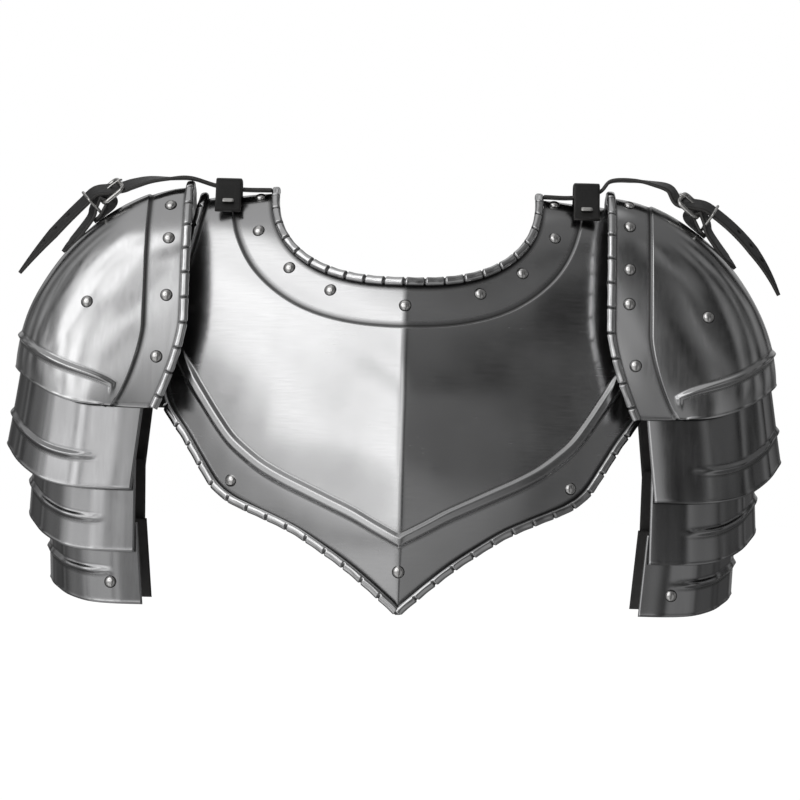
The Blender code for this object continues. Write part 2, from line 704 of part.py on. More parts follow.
def wire(name, points, thickness, closed, collection):
    """A nickel wire through these points, as a poly curve made a mesh and welded."""
    curve = bpy.data.curves.new(name, "CURVE")
    curve.dimensions = "3D"
    curve.bevel_depth = thickness / 2
    curve.bevel_resolution = 1
    curve.use_fill_caps = not closed
    line = curve.splines.new("POLY")
    line.points.add(len(points) - 1)
    line.use_cyclic_u = closed
    for point, spot in zip(line.points, points):
        point.co = (*spot, 1)
    guide = bpy.data.objects.new(name + "_guide", curve)
    bpy.context.scene.collection.objects.link(guide)
    data = bpy.data.meshes.new_from_object(guide.evaluated_get(bpy.context.evaluated_depsgraph_get()))
    data.name = name
    work = bmesh.new()
    work.from_mesh(data)
    bmesh.ops.remove_doubles(work, verts=work.verts[:], dist=WELD)
    if work.calc_volume(signed=True) < 0:
        bmesh.ops.reverse_faces(work, faces=work.faces[:])
    work.to_mesh(data)
    work.free()
    bpy.data.objects.remove(guide, do_unlink=True)
    return place(name, data, NICKEL_FINISH, collection)


def box_cutter(name, centre, size, turn_y, collection):
    work = bmesh.new()
    pose = Matrix.Translation(centre) @ Matrix.Rotation(turn_y, 4, "Y") @ Matrix.Diagonal((*size, 1))
    bmesh.ops.create_cube(work, size=1, matrix=pose)
    data = bpy.data.meshes.new(name)
    work.to_mesh(data)
    work.free()
    return helper(name, data, collection)


def strap_route(side, out, place_at, under_bar, over_bar):
    """The strap's middle line: from the neck corner over the collar, through the buckle's frame
    and round the cop, with its loose end at TAIL_ANGLES below the level."""
    collar = COLLAR_X + out
    last_x = place_at(-BUCKLE_LENGTH, 0)[0]
    band_x = collar + COLLAR_BAND * 0.6
    stations = [NECK_HALF_WIDTH + ROLL + GAP, TAB_X - TAB_WIDTH / 2, TAB_X + TAB_WIDTH / 2]
    stations += [collar + ROLL / 2, band_x]
    stations += [band_x + (last_x - band_x) * share for share in (0.4, 0.75)]
    clear = 2 * GAP + STRAP_LEATHER / 2
    route = []
    for x, share in zip(stations, STRAP_HEIGHTS[side]):
        route.append((x, max(share * STRAP_RISE, support_z(x, out) + clear)))
    route.append(place_at(-BUCKLE_LENGTH, under_bar))
    route.append(place_at(-BUCKLE_LENGTH / 2, (under_bar + over_bar) / 2))
    route.append(place_at(0, over_bar))
    spot = np.array(route[-1])
    angles = np.radians(np.linspace(*TAIL_ANGLES[side], 7))
    for angle in angles:
        spot = spot + np.array([math.cos(angle), -math.sin(angle)]) * TAIL_LENGTH[side] / len(angles)
        route.append(tuple(spot))
    return route


def chape_route(bar, out, place_at):
    """The chape's middle line: its foot on the cop, round the hinge bar and down the cop again."""
    turn = WIRE / 2 + 2 * GAP + STRAP_LEATHER / 2
    lift = GAP + STRAP_LEATHER / 2
    foot_x = bar[0] + CHAPE_OFFSET
    route = [ridge_point(foot_x, lift, out), ridge_point(foot_x - CHAPE_FOOT, lift + 3 * GAP, out)]
    route += [place_at(s * turn, n * turn) for s, n in CHAPE_TURNS]
    reach = CHAPE_REACH * math.cos(BUCKLE_TILT) + CHAPE_OFFSET
    route += [ridge_point(bar[0] + share * reach, lift, out) for share in (0.72, 0.86, 1.0)]
    return route


def build_strap_and_buckle(side, sign, parts, cutters):
    out = PAULDRON_OUT[side]
    bar, outwards, up = buckle_frame_of(out)
    wire_half = WIRE / 2
    over_bar = wire_half + 6 * GAP + STRAP_LEATHER * 1.5
    under_bar = -(wire_half + 3 * GAP + STRAP_LEATHER / 2)

    def place_at(s, n):
        return tuple(bar + outwards * s + up * n)

    def in_space(points):
        """Turns points (x, y, z) worked out at +X to the pauldron's own side."""
        return [(sign * x, y, z) for x, y, z in points]

    def buckle_points(line):
        """Points (along the buckle, across it, up from it) in the pauldron's own space."""
        spots = []
        for s, across, n in line:
            x, z = place_at(s, n)
            spots.append((x, STRAP_LANE + across, z))
        return in_space(spots)

    route = strap_route(side, out, place_at, under_bar, over_bar)
    strap = strip(side + "_shoulder_strap", route, STRAP_WIDTH, STRAP_LANE, sign, 36, 0, TIP_TAPER, parts)
    chape = strip(side + "_buckle_chape", chape_route(bar, out, place_at), CHAPE_WIDTH, STRAP_LANE, sign, 28,
                  TIP_TAPER / 2, TIP_TAPER, parts)

    half, corner, length = BUCKLE_WIDTH / 2, FRAME_CORNER, BUCKLE_LENGTH
    loop = [(0, corner - half, 0), (0, half - corner, 0), (-corner, half, 0), (corner - length, half, 0),
            (-length, half - corner, 0), (-length, corner - half, 0), (corner - length, -half, 0),
            (-corner, -half, 0)]
    wire(side + "_buckle_frame", buckle_points(loop), WIRE, True, parts)

    prong_half = PRONG_WIRE / 2
    prong = [(-wire_half - GAP, 0, GAP), (-length * 0.45, 0, PRONG_BOW),
             (-length, 0, wire_half + GAP + prong_half), (-length - PRONG_OVERHANG, 0, wire_half)]
    wire(side + "_buckle_prong", buckle_points(prong), PRONG_WIRE, False, parts)

    slot = 2 * (prong_half + 2 * GAP)
    slots = (
        (strap, (-length / 2, 0, wire_half), (length * STRAP_SLOT_SHARE, slot, STRAP_SLOT_DEPTH)),
        (chape, (-CHAPE_SLOT_LENGTH * 0.35, 0, PRONG_WIRE / 2), (CHAPE_SLOT_LENGTH, slot, CHAPE_SLOT_DEPTH)),
    )
    for leather, middle, size in slots:
        centre = buckle_points([middle])[0]
        cut(leather, [box_cutter(leather.name + "_slot", centre, size, sign * BUCKLE_TILT, cutters)])

    first_angle = math.radians(TAIL_ANGLES[side][0])
    tail_way = np.array([math.cos(first_angle), -math.sin(first_angle)])
    tail_up = np.array([math.sin(first_angle), math.cos(first_angle)])
    centre = np.array(place_at(0, over_bar)) + tail_way * KEEPER_AT
    rise = STRAP_LEATHER / 2 + 2 * GAP + KEEPER_WIRE / 2
    half = STRAP_WIDTH / 2 + GAP + KEEPER_WIRE / 2
    ring = ((-1, 0.6), (-0.85, 1), (0.85, 1), (1, 0.6), (1, -0.8), (0.85, -1), (-0.85, -1), (-1, -0.8))
    keeper = []
    for across, lift in ring:
        x, z = centre + tail_up * lift * (rise if lift > 0 else rise + KEEPER_DEPTH)
        keeper.append((x, STRAP_LANE + across * half, z))
    wire(side + "_buckle_keeper", in_space(keeper), KEEPER_WIRE, True, parts)
    build_tab(side, sign, route, parts)


def plate_face(z, lift):
    """A point (y, z) that stands off the plate's front under the tab, square to it."""
    y = min(float(plate_y(x, z)) for x in (TAB_X - TAB_WIDTH / 2, TAB_X + TAB_WIDTH / 2))
    slope = (plate_y(TAB_X, z + SLOPE_STEP) - plate_y(TAB_X, z - SLOPE_STEP)) / (2 * SLOPE_STEP)
    normal = np.array([-1, slope]) / math.hypot(slope, 1)
    return np.array([y, z]) + normal * lift


def tab_route(strap):
    """The tab's middle line (y, z): up the plate's front, over the strap and under the shoulder."""
    half = STRAP_LEATHER / 2
    line = through(strap, np.linspace(0, len(strap) - 1, 300))
    under_tab = np.abs(line[:, 0] - TAB_X) < TAB_WIDTH / 2 + half
    over = line[under_tab, 1].max() + STRAP_LEATHER + 5 * GAP
    front = STRAP_LANE - STRAP_WIDTH / 2 - 3 * GAP - half
    back = STRAP_LANE + STRAP_WIDTH / 2 + 3 * GAP + half
    low = float(shoulder_z(TAB_X)) - TAB_DROP
    lift = GAP + half + BAND_STEP
    under_y = STRAP_LANE - STRAP_WIDTH * 0.15
    under_z = float(plate_z(TAB_X + TAB_WIDTH / 2, under_y)) - STEEL - 2 * GAP - half - TAB_SLACK
    corner = TAB_CORNER
    return [
        plate_face(low, lift),
        plate_face(low + TAB_DROP * 0.35, lift),
        (front - 2 * GAP, over - corner * 2.75),
        (front + corner, over - 2 * GAP),
        (STRAP_LANE, over),
        (back - corner, over - 2 * GAP),
        (back, over - corner * 2),
        (back, under_z + corner * 1.5),
        (back - corner * 2, under_z - 3 * GAP),
        (under_y, under_z),
    ]


def build_tab(side, sign, strap, parts):
    """A leather loop over the strap and round the plate's shoulder edge, with a steel staple."""
    tab = strip(side + "_strap_tab", tab_route(strap), TAB_WIDTH, 0, 1.0, 20, 0, 0, parts)
    turned = np.array([(sign * TAB_X + v.co.y, v.co.x, v.co.z) for v in tab.data.vertices])
    tab.data.vertices.foreach_set("co", turned.ravel())
    work = bmesh.new()
    work.from_mesh(tab.data)
    if work.calc_volume(signed=True) < 0:
        bmesh.ops.reverse_faces(work, faces=work.faces[:])
    work.to_mesh(tab.data)
    work.free()
    staple_z = float(shoulder_z(TAB_X)) - TAB_DROP * 0.38
    start = Vector((sign * TAB_X, -PLATE_DEPTH, staple_z))
    spot, normal, _, _ = tree_of(tab).ray_cast(start, Vector((0, 1, 0)))
    pose = Matrix.Translation(spot + normal * (3 * GAP + STAPLE_THICKNESS / 2))
    pose = pose @ normal.to_track_quat("Z", "X").to_matrix().to_4x4()
    work = bmesh.new()
    size = (STAPLE_HEIGHT, STAPLE_WIDTH, STAPLE_THICKNESS, 1)
    bmesh.ops.create_cube(work, size=1, matrix=pose @ Matrix.Diagonal(size))
    data = bpy.data.meshes.new(side + "_tab_staple")
    work.to_mesh(data)
    work.free()
    place(side + "_tab_staple", data, NICKEL_FINISH, parts)


def build_pauldron(side, sign, parts, cutters):
    out = PAULDRON_OUT[side]
    cop = build_cop(side, sign, parts)
    lames = build_lames(side, sign, parts)
    plates = [cop, *lames]
    top_z = COP_PEAK - COP_RIVET_DROP_SHARE * COP_DROP
    slope = (COP_RIVET_X - LAME_RIVET_X) / (top_z - LAME_RIVET_Z)

    def line(z):
        return sign * (LAME_RIVET_X + out + slope * (z - LAME_RIVET_Z))

    front_lame_tops = [COP_PEAK - COP_DROP + LAME_OVERLAP]
    front_z = LAME_COLUMN_NAMES.index("front_z")
    front_lame_tops += [-LAME_DROP * row[front_z] + LAME_OVERLAP for row in LAMES[:-1]]
    levels = [top_z + LEATHER_TOP, top_z]
    for z in front_lame_tops:
        levels += [z - LAME_OVERLAP * 0.03, z - LAME_OVERLAP * 0.7]
    levels += [LAME_RIVET_Z, LAME_RIVET_Z - LEATHER_END]
    leathers = {}
    for face, way in (("front", -1), ("back", 1)):
        name = f"{side}_{face}_leather"
        leathers[face] = build_leather(name, plates, way, line, levels, parts)
    shank = STEEL + 2 * GAP + INNER_LEATHER + 2 * RIVET_TAIL
    for face, way in (("front", 1), ("back", -1)):
        start_y = ARM_Y - way * 2 * COP_HALF_DEPTH
        ends = ((cop, "cop", top_z), (lames[-1], "lame", LAME_RIVET_Z))
        for plate, label, z in ends:
            name = f"{side}_{label}_rivet_{face}"
            spots = [(line(z), start_y, z)]
            rivet_plate(plate, [name], spots, (0, way, 0), shank, parts, cutters, [leathers[face]])
    names, spots = [], []
    for number, share in enumerate(COLLAR_RIVETS[side], 1):
        z = COP_PEAK - share * COP_DROP
        names.append(f"{side}_collar_rivet_{number}")
        spots.append((sign * (float(collar_x(z, out)) + COLLAR_BAND / 2), ARM_Y - 2 * COP_HALF_DEPTH, z))
    rivet_plate(cop, names, spots, (0, 1, 0), STEEL + GAP + RIVET_TAIL, parts, cutters)


clear_scene()
parts = new_collection("pauldron_harness")
cutters = new_collection("cutters", rendered=False)
gorget = build_gorget(parts)
build_gorget_rivets(gorget, parts, cutters)
for side, sign in SIDES.items():
    build_pauldron(side, sign, parts, cutters)
    build_strap_and_buckle(side, sign, parts, cutters)
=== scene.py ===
"""The looks of a polished steel gorget plate with a pair of pauldrons strapped and buckled to it.

Metres. +Z is up, +X is the wearer's left and -Y is the front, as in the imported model. Each piece is
worked out as arrays of points, one section for each piece, in the order of assembly.
"""
import math

import bpy
import numpy as np
from mathutils import Matrix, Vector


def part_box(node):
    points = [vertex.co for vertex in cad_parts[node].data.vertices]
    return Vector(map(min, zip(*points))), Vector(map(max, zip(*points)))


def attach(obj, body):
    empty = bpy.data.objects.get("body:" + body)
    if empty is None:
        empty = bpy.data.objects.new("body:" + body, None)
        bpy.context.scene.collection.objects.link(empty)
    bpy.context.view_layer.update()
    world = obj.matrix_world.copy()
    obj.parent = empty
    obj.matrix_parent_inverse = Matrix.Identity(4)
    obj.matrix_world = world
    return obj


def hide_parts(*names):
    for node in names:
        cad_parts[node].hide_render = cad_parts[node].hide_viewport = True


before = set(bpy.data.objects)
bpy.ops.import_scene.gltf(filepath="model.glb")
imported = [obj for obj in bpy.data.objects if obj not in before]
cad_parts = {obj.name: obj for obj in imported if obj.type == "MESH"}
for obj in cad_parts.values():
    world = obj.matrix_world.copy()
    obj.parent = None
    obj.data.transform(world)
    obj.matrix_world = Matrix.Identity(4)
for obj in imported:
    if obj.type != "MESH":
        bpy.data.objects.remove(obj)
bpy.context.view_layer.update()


# Gorget plate
# One raised sheet of steel over the chest: a keel down its middle, a sunk band round the neck and
# a bead embossed parallel to its lower edge. The relief is pressed through the whole sheet.

SHEET = 0.0012
ROLL = 0.0065
UNDER_ROLL = 0.55 * ROLL
NECK_HALF_WIDTH, NECK_DROP, NECK_SQUARENESS = 0.0984, 0.067, 2.5
NECK_BAND, BAND_STEP, STEP_RUN = 0.036, 0.0015, 0.0023
PLATE_HALF_WIDTH, PLATE_DROP, PLATE_DEPTH = 0.1847, 0.3214, 0.123
SHOULDER_BACK, SHOULDER_HALF_WIDTH, SHOULDER_FALL = 0.012, 0.160, 0.008
KEEL_SLOPE, SIDE_CURVE, KEEL_ROUND = 0.405, 0.21, 0.0012
DEEPEST_SHARE, DROP_CURVE = 0.8, 1.8
BEAD_HALF, BEAD_HEIGHT, BEAD_SLOPE = 0.0056, 0.0030, 0.62
BEAD_FADES_FROM, BEAD_FADES_OVER = 11.0, 1.5
BORDER_SINK, BORDER_ROUNDING = 0.12, 0.003
COLUMNS_CROWD = 1.6
CREASE = 0.0011

# Stations from the keel's tip to the shoulder: lower edge x and drop, bead x and drop, as shares of
# the plate's half width and drop, and the share of the neckline's quarter turn
STATIONS = np.array([
    (0.000, 1.000, 0.000, 0.821, 0.00), (0.123, 0.938, 0.100, 0.791, 0.07),
    (0.225, 0.891, 0.190, 0.763, 0.12), (0.328, 0.851, 0.285, 0.738, 0.17),
    (0.430, 0.815, 0.380, 0.713, 0.22), (0.529, 0.789, 0.475, 0.688, 0.27),
    (0.623, 0.767, 0.565, 0.660, 0.32), (0.704, 0.746, 0.640, 0.628, 0.36),
    (0.775, 0.713, 0.700, 0.597, 0.39), (0.845, 0.652, 0.755, 0.556, 0.42),
    (0.899, 0.602, 0.810, 0.510, 0.45), (0.990, 0.525, 0.872, 0.454, 0.50),
    (1.000, 0.460, 0.930, 0.390, 0.57), (0.985, 0.360, 0.945, 0.320, 0.66),
    (0.950, 0.240, 0.910, 0.220, 0.78), (0.900, 0.110, 0.860, 0.110, 0.89),
    (0.866, 0.025, 0.810, 0.025, 1.00)])


def unit(vectors):
    """Each vector divided by its own length."""
    return vectors / np.linalg.norm(vectors, axis=-1, keepdims=True)


def smooth(values):
    """0 below 0, 1 above 1, and 3t^2 - 2t^3 between them."""
    t = np.clip(values, 0, 1)
    return t * t * (3 - 2 * t)


def painted_shade_line(off, half):
    """A bell curve for a line of painted shade: e to the minus square of the distance over the line's
    half width.
    """
    return np.exp(-((off / half) ** 2))


def through(rows, at):
    """A Catmull-Rom curve through the rows, read at fractional row numbers."""
    padded = np.vstack([2 * rows[0] - rows[1], rows, 2 * rows[-1] - rows[-2]])
    low = np.clip(np.floor(at).astype(int), 0, len(rows) - 2)
    t = (np.asarray(at) - low)[:, None]
    a, b, c, d = (padded[low + i] for i in range(4))
    return b + 0.5 * t * (c - a + t * (2 * a - 5 * b + 4 * c - d + t * (3 * (b - c) + d - a)))


def quarter(angle, curve):
    """A superellipse's turn: |sin| and signed |cos|, each to the power 2 / curve."""
    power = 2 / curve
    return np.abs(np.sin(angle)) ** power, np.sign(np.cos(angle)) * np.abs(np.cos(angle)) ** power


def shoulder_z(x):
    """The shoulder edge: level to the neck corner, and falling by the power 1.5 outside it."""
    past = np.clip((np.abs(x) - NECK_HALF_WIDTH) / (SHOULDER_HALF_WIDTH - NECK_HALF_WIDTH), 0, None)
    return -SHOULDER_FALL * past**1.5


def plate_y(x, z):
    """The plate's face: a depth that falls off linearly and squarely to the sides from the keel,
    times the root of a rounded drop, so that it rounds over to the back at the shoulder."""
    across = (np.sqrt(x**2 + KEEL_ROUND**2) - KEEL_ROUND) / PLATE_HALF_WIDTH
    drop = np.clip((shoulder_z(x) - z) / PLATE_DROP, 0, None)
    bulge = np.clip(1 - np.abs(1 - drop / DEEPEST_SHARE) ** DROP_CURVE, 0, None)
    left = 1 - KEEL_SLOPE * across - SIDE_CURVE * across**2
    return SHOULDER_BACK - (PLATE_DEPTH + SHOULDER_BACK) * left * np.sqrt(bulge)


def uneven(points, size, height, seed):
    """The slight waves that hammering leaves: a sum of six sine waves of different directions."""
    spread = np.random.default_rng(seed)
    turns = unit(spread.normal(size=(6, 3))) * (math.tau / size) * spread.uniform(0.6, 1.5, (6, 1))
    phases = spread.uniform(0, math.tau, 6)
    return height * np.sin(points @ turns.T + phases).sum(axis=-1) / 6


def rows_at(lines, wanted):
    """Points at the wanted lengths along each line, by linear steps. All lines are read at once,
    each shifted along the scale by its own number so that the lengths keep rising."""
    steps = np.linalg.norm(np.diff(lines, axis=1), axis=2)
    lengths = np.hstack([np.zeros((len(lines), 1)), np.cumsum(steps, axis=1)])
    shift = 10.0 * np.arange(len(lines))[:, None]
    at, known = (wanted + shift).ravel(), (lengths + shift).ravel()
    read = [np.interp(at, known, lines[..., k].ravel()) for k in range(3)]
    return np.stack(read, axis=-1).reshape(*wanted.shape, 3)


def rows_between(stops, counts):
    """Row lengths for every column: each stretch between two stops is shared evenly."""
    parts = [a[:, None] + (b - a)[:, None] * np.arange(n) / n
             for a, b, n in zip(stops, stops[1:], counts)]
    return np.hstack(parts + [stops[-1][:, None]])


def normals_of(grid, away_from):
    """The grid's normals, turned to the side that faces away from a point or points."""
    normal = unit(np.cross(np.gradient(grid, axis=0), np.gradient(grid, axis=1)))
    return normal * np.sign((normal * (grid - away_from)).sum(axis=2, keepdims=True))


def mesh_piece(name, points, quads, outward=None, grime=None, caps=()):
    """A smooth-shaded mesh from points and quads. Its faces are turned to look along outward, or
    out of the volume that they enclose. Its per-point mask is one number for each point: a painted
    shade on steel, 1 in the creases, and a painted highlight along leather edges."""
    faces = [quads] + [np.asarray(cap) for cap in caps]
    if outward is None:
        volume = 0.0
        for face in faces:
            a, b, c = (points[face[:, k]] for k in range(3))
            volume += (np.cross(a, b) * c).sum()
            if face.shape[1] == 4:
                volume += (np.cross(a, c) * points[face[:, 3]]).sum()
        flip = volume < 0
    else:
        a, b, c = (points[quads[:, k]] for k in range(3))
        flip = (np.cross(b - a, c - a) * outward[quads[:, 0]]).sum() < 0
    faces = [face[:, ::-1] if flip else face for face in faces]
    data = bpy.data.meshes.new(name)
    data.from_pydata(points, [], [f for face in faces for f in face.tolist()])
    data.shade_smooth()
    # The per-point mask of painted light: painted shade in the steel's creases, painted highlight
    # along leather edges.
    values = np.zeros(len(points)) if grime is None else grime
    painted_light_layer = data.attributes.new("grime", "FLOAT", "POINT")
    painted_light_layer.data.foreach_set("value", values.astype(np.float32).ravel())
    piece = bpy.data.objects.new(name, data)
    bpy.context.scene.collection.objects.link(piece)
    return piece


def set_piece(piece, node, slot, *materials):
    """Gives a piece its materials and the body that it rides on, and hides the CAD node that it
    stands for. The slot is not used."""
    for material in materials:
        piece.data.materials.append(material)
    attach(piece, "root")
    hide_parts(node)


def grid_quads(columns, rows, wrap_rows=False):
    """The corner numbers of every quad of a grid, whose rows may close into rings."""
    last = rows if wrap_rows else rows - 1
    i, j = np.meshgrid(np.arange(columns - 1), np.arange(last), indexing="ij")
    k = (j + 1) % rows
    quads = [i * rows + j, (i + 1) * rows + j, (i + 1) * rows + k, i * rows + k]
    return np.stack(quads, axis=-1).reshape(-1, 4)


def sheet_piece(name, node, grid, outward, painted_light_mask, metal):
    """A plate of sheet steel: its outer face as a grid, thickened inwards, with a black inside."""
    piece = mesh_piece(name + "_sheet", grid.reshape(-1, 3), grid_quads(*grid.shape[:2]),
                       outward.reshape(-1, 3), np.clip(painted_light_mask, 0, 1))
    solid = piece.modifiers.new("thickness", "SOLIDIFY")
    solid.thickness = SHEET
    solid.offset = -1
    solid.material_offset = 1
    set_piece(piece, node, "polished_steel", metal, black_inside)


def adder(tree):
    """A shortcut that adds nodes to a tree."""
    def add(kind, inputs, output=0, **settings):
        """A new node's output. Its inputs take values, or links from other nodes' outputs."""
        node = tree.nodes.new(kind)
        for key, value in settings.items():
            setattr(node, key, value)
        for key, value in inputs.items():
            if isinstance(value, bpy.types.NodeSocket):
                tree.links.new(value, node.inputs[key])
            else:
                node.inputs[key].default_value = value
        return node.outputs[output]

    return add


def new_material(name, metallic):
    """A shortcut that adds nodes to a new material, and one that finishes it."""
    material = bpy.data.materials.new(name)
    material.use_nodes = True
    tree = material.node_tree
    shader = tree.nodes["Principled BSDF"]
    shader.inputs["Metallic"].default_value = metallic

    def finish(colour, rough, normal):
        """The material, once its colour, roughness and normal are linked to the shader."""
        for key, value in (("Base Color", colour), ("Roughness", rough), ("Normal", normal)):
            tree.links.new(value, shader.inputs[key])
        return material

    return adder(tree), finish


def noise(add, place, scale, detail, **more):
    """Cloudy noise of so many layers, whose patches are about one over the scale wide."""
    return add("ShaderNodeTexNoise", {"Vector": place, "Scale": scale, "Detail": detail, **more})


def ranged(add, value, start, end, low=0.0, high=1.0, **settings):
    """The value's stretch from start to end laid evenly over low to high."""
    return add("ShaderNodeMapRange", {"Value": value, "From Min": start, "From Max": end,
                                      "To Min": low, "To Max": high}, **settings)


def bump(add, height, strength, distance, **under):
    """The surface's normal once a pattern is embossed over what is under it."""
    inputs = {"Height": height, "Strength": strength, "Distance": distance}
    return add("ShaderNodeBump", {**inputs, **under})


def two_tones(add, value, first, second, start=0.0, end=1.0):
    """A colour that runs from the first, where the value is at start, to the second, at end."""
    colour = add("ShaderNodeValToRGB", {"Fac": value})
    for stop, at, tone in zip(colour.node.color_ramp.elements, (start, end), (first, second)):
        stop.position, stop.color = at, (*tone, 1)
    return colour


def with_painted_light(add, colour, painted_tone):
    """The colour, turned into the painted tone by the per-point mask attribute, and that attribute:
    a painted shade on steel and a painted highlight on leather.
    """
    grime = add("ShaderNodeAttribute", {}, "Fac", attribute_name="grime")
    inputs = {"Factor": grime, 6: colour, 7: (*painted_tone, 1)}
    return add("ShaderNodeMix", inputs, 2, data_type="RGBA"), grime


def steel(name, colour, rough, brushed, painted_shade_tone):
    """Polished steel: long fine scratches along one direction, faint swirls across them, a cloudy
    change of gloss, and a painted shade in the creases, where the metal is also made rougher."""
    add, finish = new_material(name, 1.0)
    place = add("ShaderNodeTexCoord", {}, "Object")
    stretched = add("ShaderNodeMapping", {"Vector": place, "Scale": brushed})
    scratch = noise(add, stretched, 1.0, 5.0, Roughness=0.7)
    swirl = noise(add, place, 420.0, 3.0, Distortion=1.2)
    cloud = noise(add, place, 17.0, 4.0, Roughness=0.55)
    tone = two_tones(add, cloud, [c * 0.93 for c in colour], [min(c * 1.04, 1) for c in colour],
                     0.3, 0.7)
    # Painted shade: the tone is mixed towards the last, dark colour where the per-point mask is high.
    tone_with_painted_shade, painted_shade = with_painted_light(add, tone, painted_shade_tone)
    gloss = ranged(add, cloud, 0.3, 0.7, *rough)
    streak = ranged(add, scratch, 0.3, 0.75, -0.035, 0.06)
    both = add("ShaderNodeMath", {0: gloss, 1: streak}, operation="ADD")
    dulled = add("ShaderNodeMath", {0: painted_shade, 1: 0.25, 2: both}, operation="MULTIPLY_ADD")
    scratched = bump(add, scratch, 0.035, 0.0001)
    return finish(tone_with_painted_shade, dulled, bump(add, swirl, 0.02, 0.0001, Normal=scratched))


# Each steel's last colour is the dark tone of its painted shade in the creases.
plate_steel = steel("polished_steel_plate", (0.65, 0.65, 0.655), (0.17, 0.25), (55, 55, 1100),
                    (0.08, 0.08, 0.08))
# The rolls' steel has a lighter colour than the plate's: a painted highlight.
roll_steel = steel("polished_steel_rolls", (0.76, 0.76, 0.765), (0.12, 0.18), (420, 420, 420),
                   (0.015, 0.015, 0.015))

# The inside of the plates is a near-black, mottled steel.
add, finish = new_material("blackened_inside", 0.6)
scale = noise(add, add("ShaderNodeTexCoord", {}, "Object"), 60.0, 8.0)
black_inside = finish(two_tones(add, scale, (0.04, 0.04, 0.042), (0.17, 0.165, 0.16)),
                      ranged(add, scale, 0, 1, 0.45, 0.8), bump(add, scale, 0.25, 0.0006))


def gorget_surface(share):
    """The sheet's outer face on the +X half: straight lines in the front view from the neckline
    over the bead to the lower edge, in rows that close up at each feature, then dropped onto
    plate_y and raised by the relief. Returns the grid, its normals and each point's painted shade."""
    station = (len(STATIONS) - 1) * (1 - (1 - share) ** COLUMNS_CROWD)
    edge_x, edge_z, bead_x, bead_z, turn = through(STATIONS, station).T
    sine, cosine = quarter(turn * math.pi / 2, NECK_SQUARENESS)
    neck = np.stack([NECK_HALF_WIDTH * sine, -NECK_DROP * cosine], axis=1)
    edge = np.stack([PLATE_HALF_WIDTH * edge_x, -PLATE_DROP * edge_z], axis=1)
    bead = np.stack([PLATE_HALF_WIDTH * bead_x, -PLATE_DROP * bead_z], axis=1)
    neck[0, 0] = edge[0, 0] = bead[0, 0] = 0
    neck[-1, 1] = shoulder_z(neck[-1, 0])
    edge[-1] = SHOULDER_HALF_WIDTH, shoulder_z(SHOULDER_HALF_WIDTH)
    bead[-1, 1] = shoulder_z(bead[-1, 0])
    flat = np.stack([neck, bead, edge], axis=1)
    to_bead = np.linalg.norm(bead - neck, axis=1)
    total = to_bead + np.linalg.norm(edge - bead, axis=1)
    step, clear = np.full_like(total, NECK_BAND), BEAD_HALF + 0.002
    reach = np.minimum(clear, (total - to_bead - ROLL) * 0.8)
    stops = [np.full_like(total, UNDER_ROLL), step - 0.001, step + STEP_RUN + 0.001,
             to_bead - clear, to_bead + reach, total - UNDER_ROLL]
    wanted = rows_between(stops, (10, 9, 34, 22, 9))
    line = rows_at(np.concatenate([flat, np.zeros_like(flat[..., :1])], axis=2), wanted)
    x, z = line[..., 0], line[..., 1]
    z[-1] = shoulder_z(x[-1])
    grid = np.stack([x, plate_y(x, z), z], axis=2)
    outward = normals_of(grid, (0, 0.4, -0.25))
    outward[0, :, 0] = 0
    outward = unit(outward)
    fade = np.clip(1 - (station - BEAD_FADES_FROM) / BEAD_FADES_OVER, 0, 1)[:, None]
    off_bead = np.abs(wanted - to_bead[:, None]) / BEAD_HALF
    lift = BEAD_HEIGHT * fade * smooth((1 - off_bead) / BEAD_SLOPE)
    lift -= BAND_STEP * (1 - smooth((wanted - NECK_BAND) / STEP_RUN))
    past = np.clip(wanted - to_bead[:, None] - BEAD_HALF, 0, None)
    lift -= BORDER_SINK * fade * past**2 / (past + BORDER_ROUNDING)
    grid = grid + outward * lift[..., None]
    # Painted shade: dark lines in the creases beside both rolls, along the bead's edges and in the
    # neck band's step.
    painted_light_mask = 0.9 * painted_shade_line(wanted - ROLL, CREASE)
    painted_light_mask += 0.9 * painted_shade_line(total[:, None] - ROLL - wanted, CREASE)
    painted_light_mask += 0.35 * fade * painted_shade_line(off_bead - 1.05, 0.12)
    painted_light_mask += 0.90 * painted_shade_line(wanted - NECK_BAND + 0.0002, 0.0014)
    return grid, outward, painted_light_mask


def both_halves(half):
    """A half from the middle outwards, with its mirror image before it."""
    sign = (-1, 1, 1) if half.ndim == 3 else 1
    return np.concatenate([half[:0:-1] * sign, half])


half_plate = gorget_surface(np.linspace(0, 1, 206))
gorget_grid, gorget_out, gorget_painted_shade = (both_halves(part) for part in half_plate)
waves = uneven(gorget_grid, 0.085, 0.00075, 4) + uneven(gorget_grid, 0.030, 0.00007, 5)
waves = waves * smooth(-gorget_grid[..., 2] / 0.03)
gorget_grid = gorget_grid + gorget_out * waves[..., None]
sheet_piece("gorget", "gorget_plate", gorget_grid, gorget_out, gorget_painted_shade, plate_steel)


# Rolled edges
# The neckline, the lower edge and each pauldron's collar are turned over a wire, and the rolls are
# roped: filed across with notches at a hand's even spacing.

NOTCH_HALF, NOTCH_DEPTH, NOTCH_JITTER, SWELL = 0.00095, 0.36, 0.0007, 0.00013
RING_STEP, RING_POINTS, ROLL_SQUARENESS = 0.00048, 26, 2.9


def tube_piece(name, points, count, painted_light_mask):
    """A closed tube: so many rings of points, and after them the middle points of its two ends,
    which close with fans of triangles."""
    around = (len(points) - 2) // count
    j = np.arange(around)
    after, base = (j + 1) % around, (count - 1) * around
    caps = (np.stack([np.full(around, len(points) - 2), j, after], axis=1),
            np.stack([np.full(around, len(points) - 1), base + after, base + j], axis=1))
    return mesh_piece(name, points, grid_quads(count, around, True), None, painted_light_mask, caps)


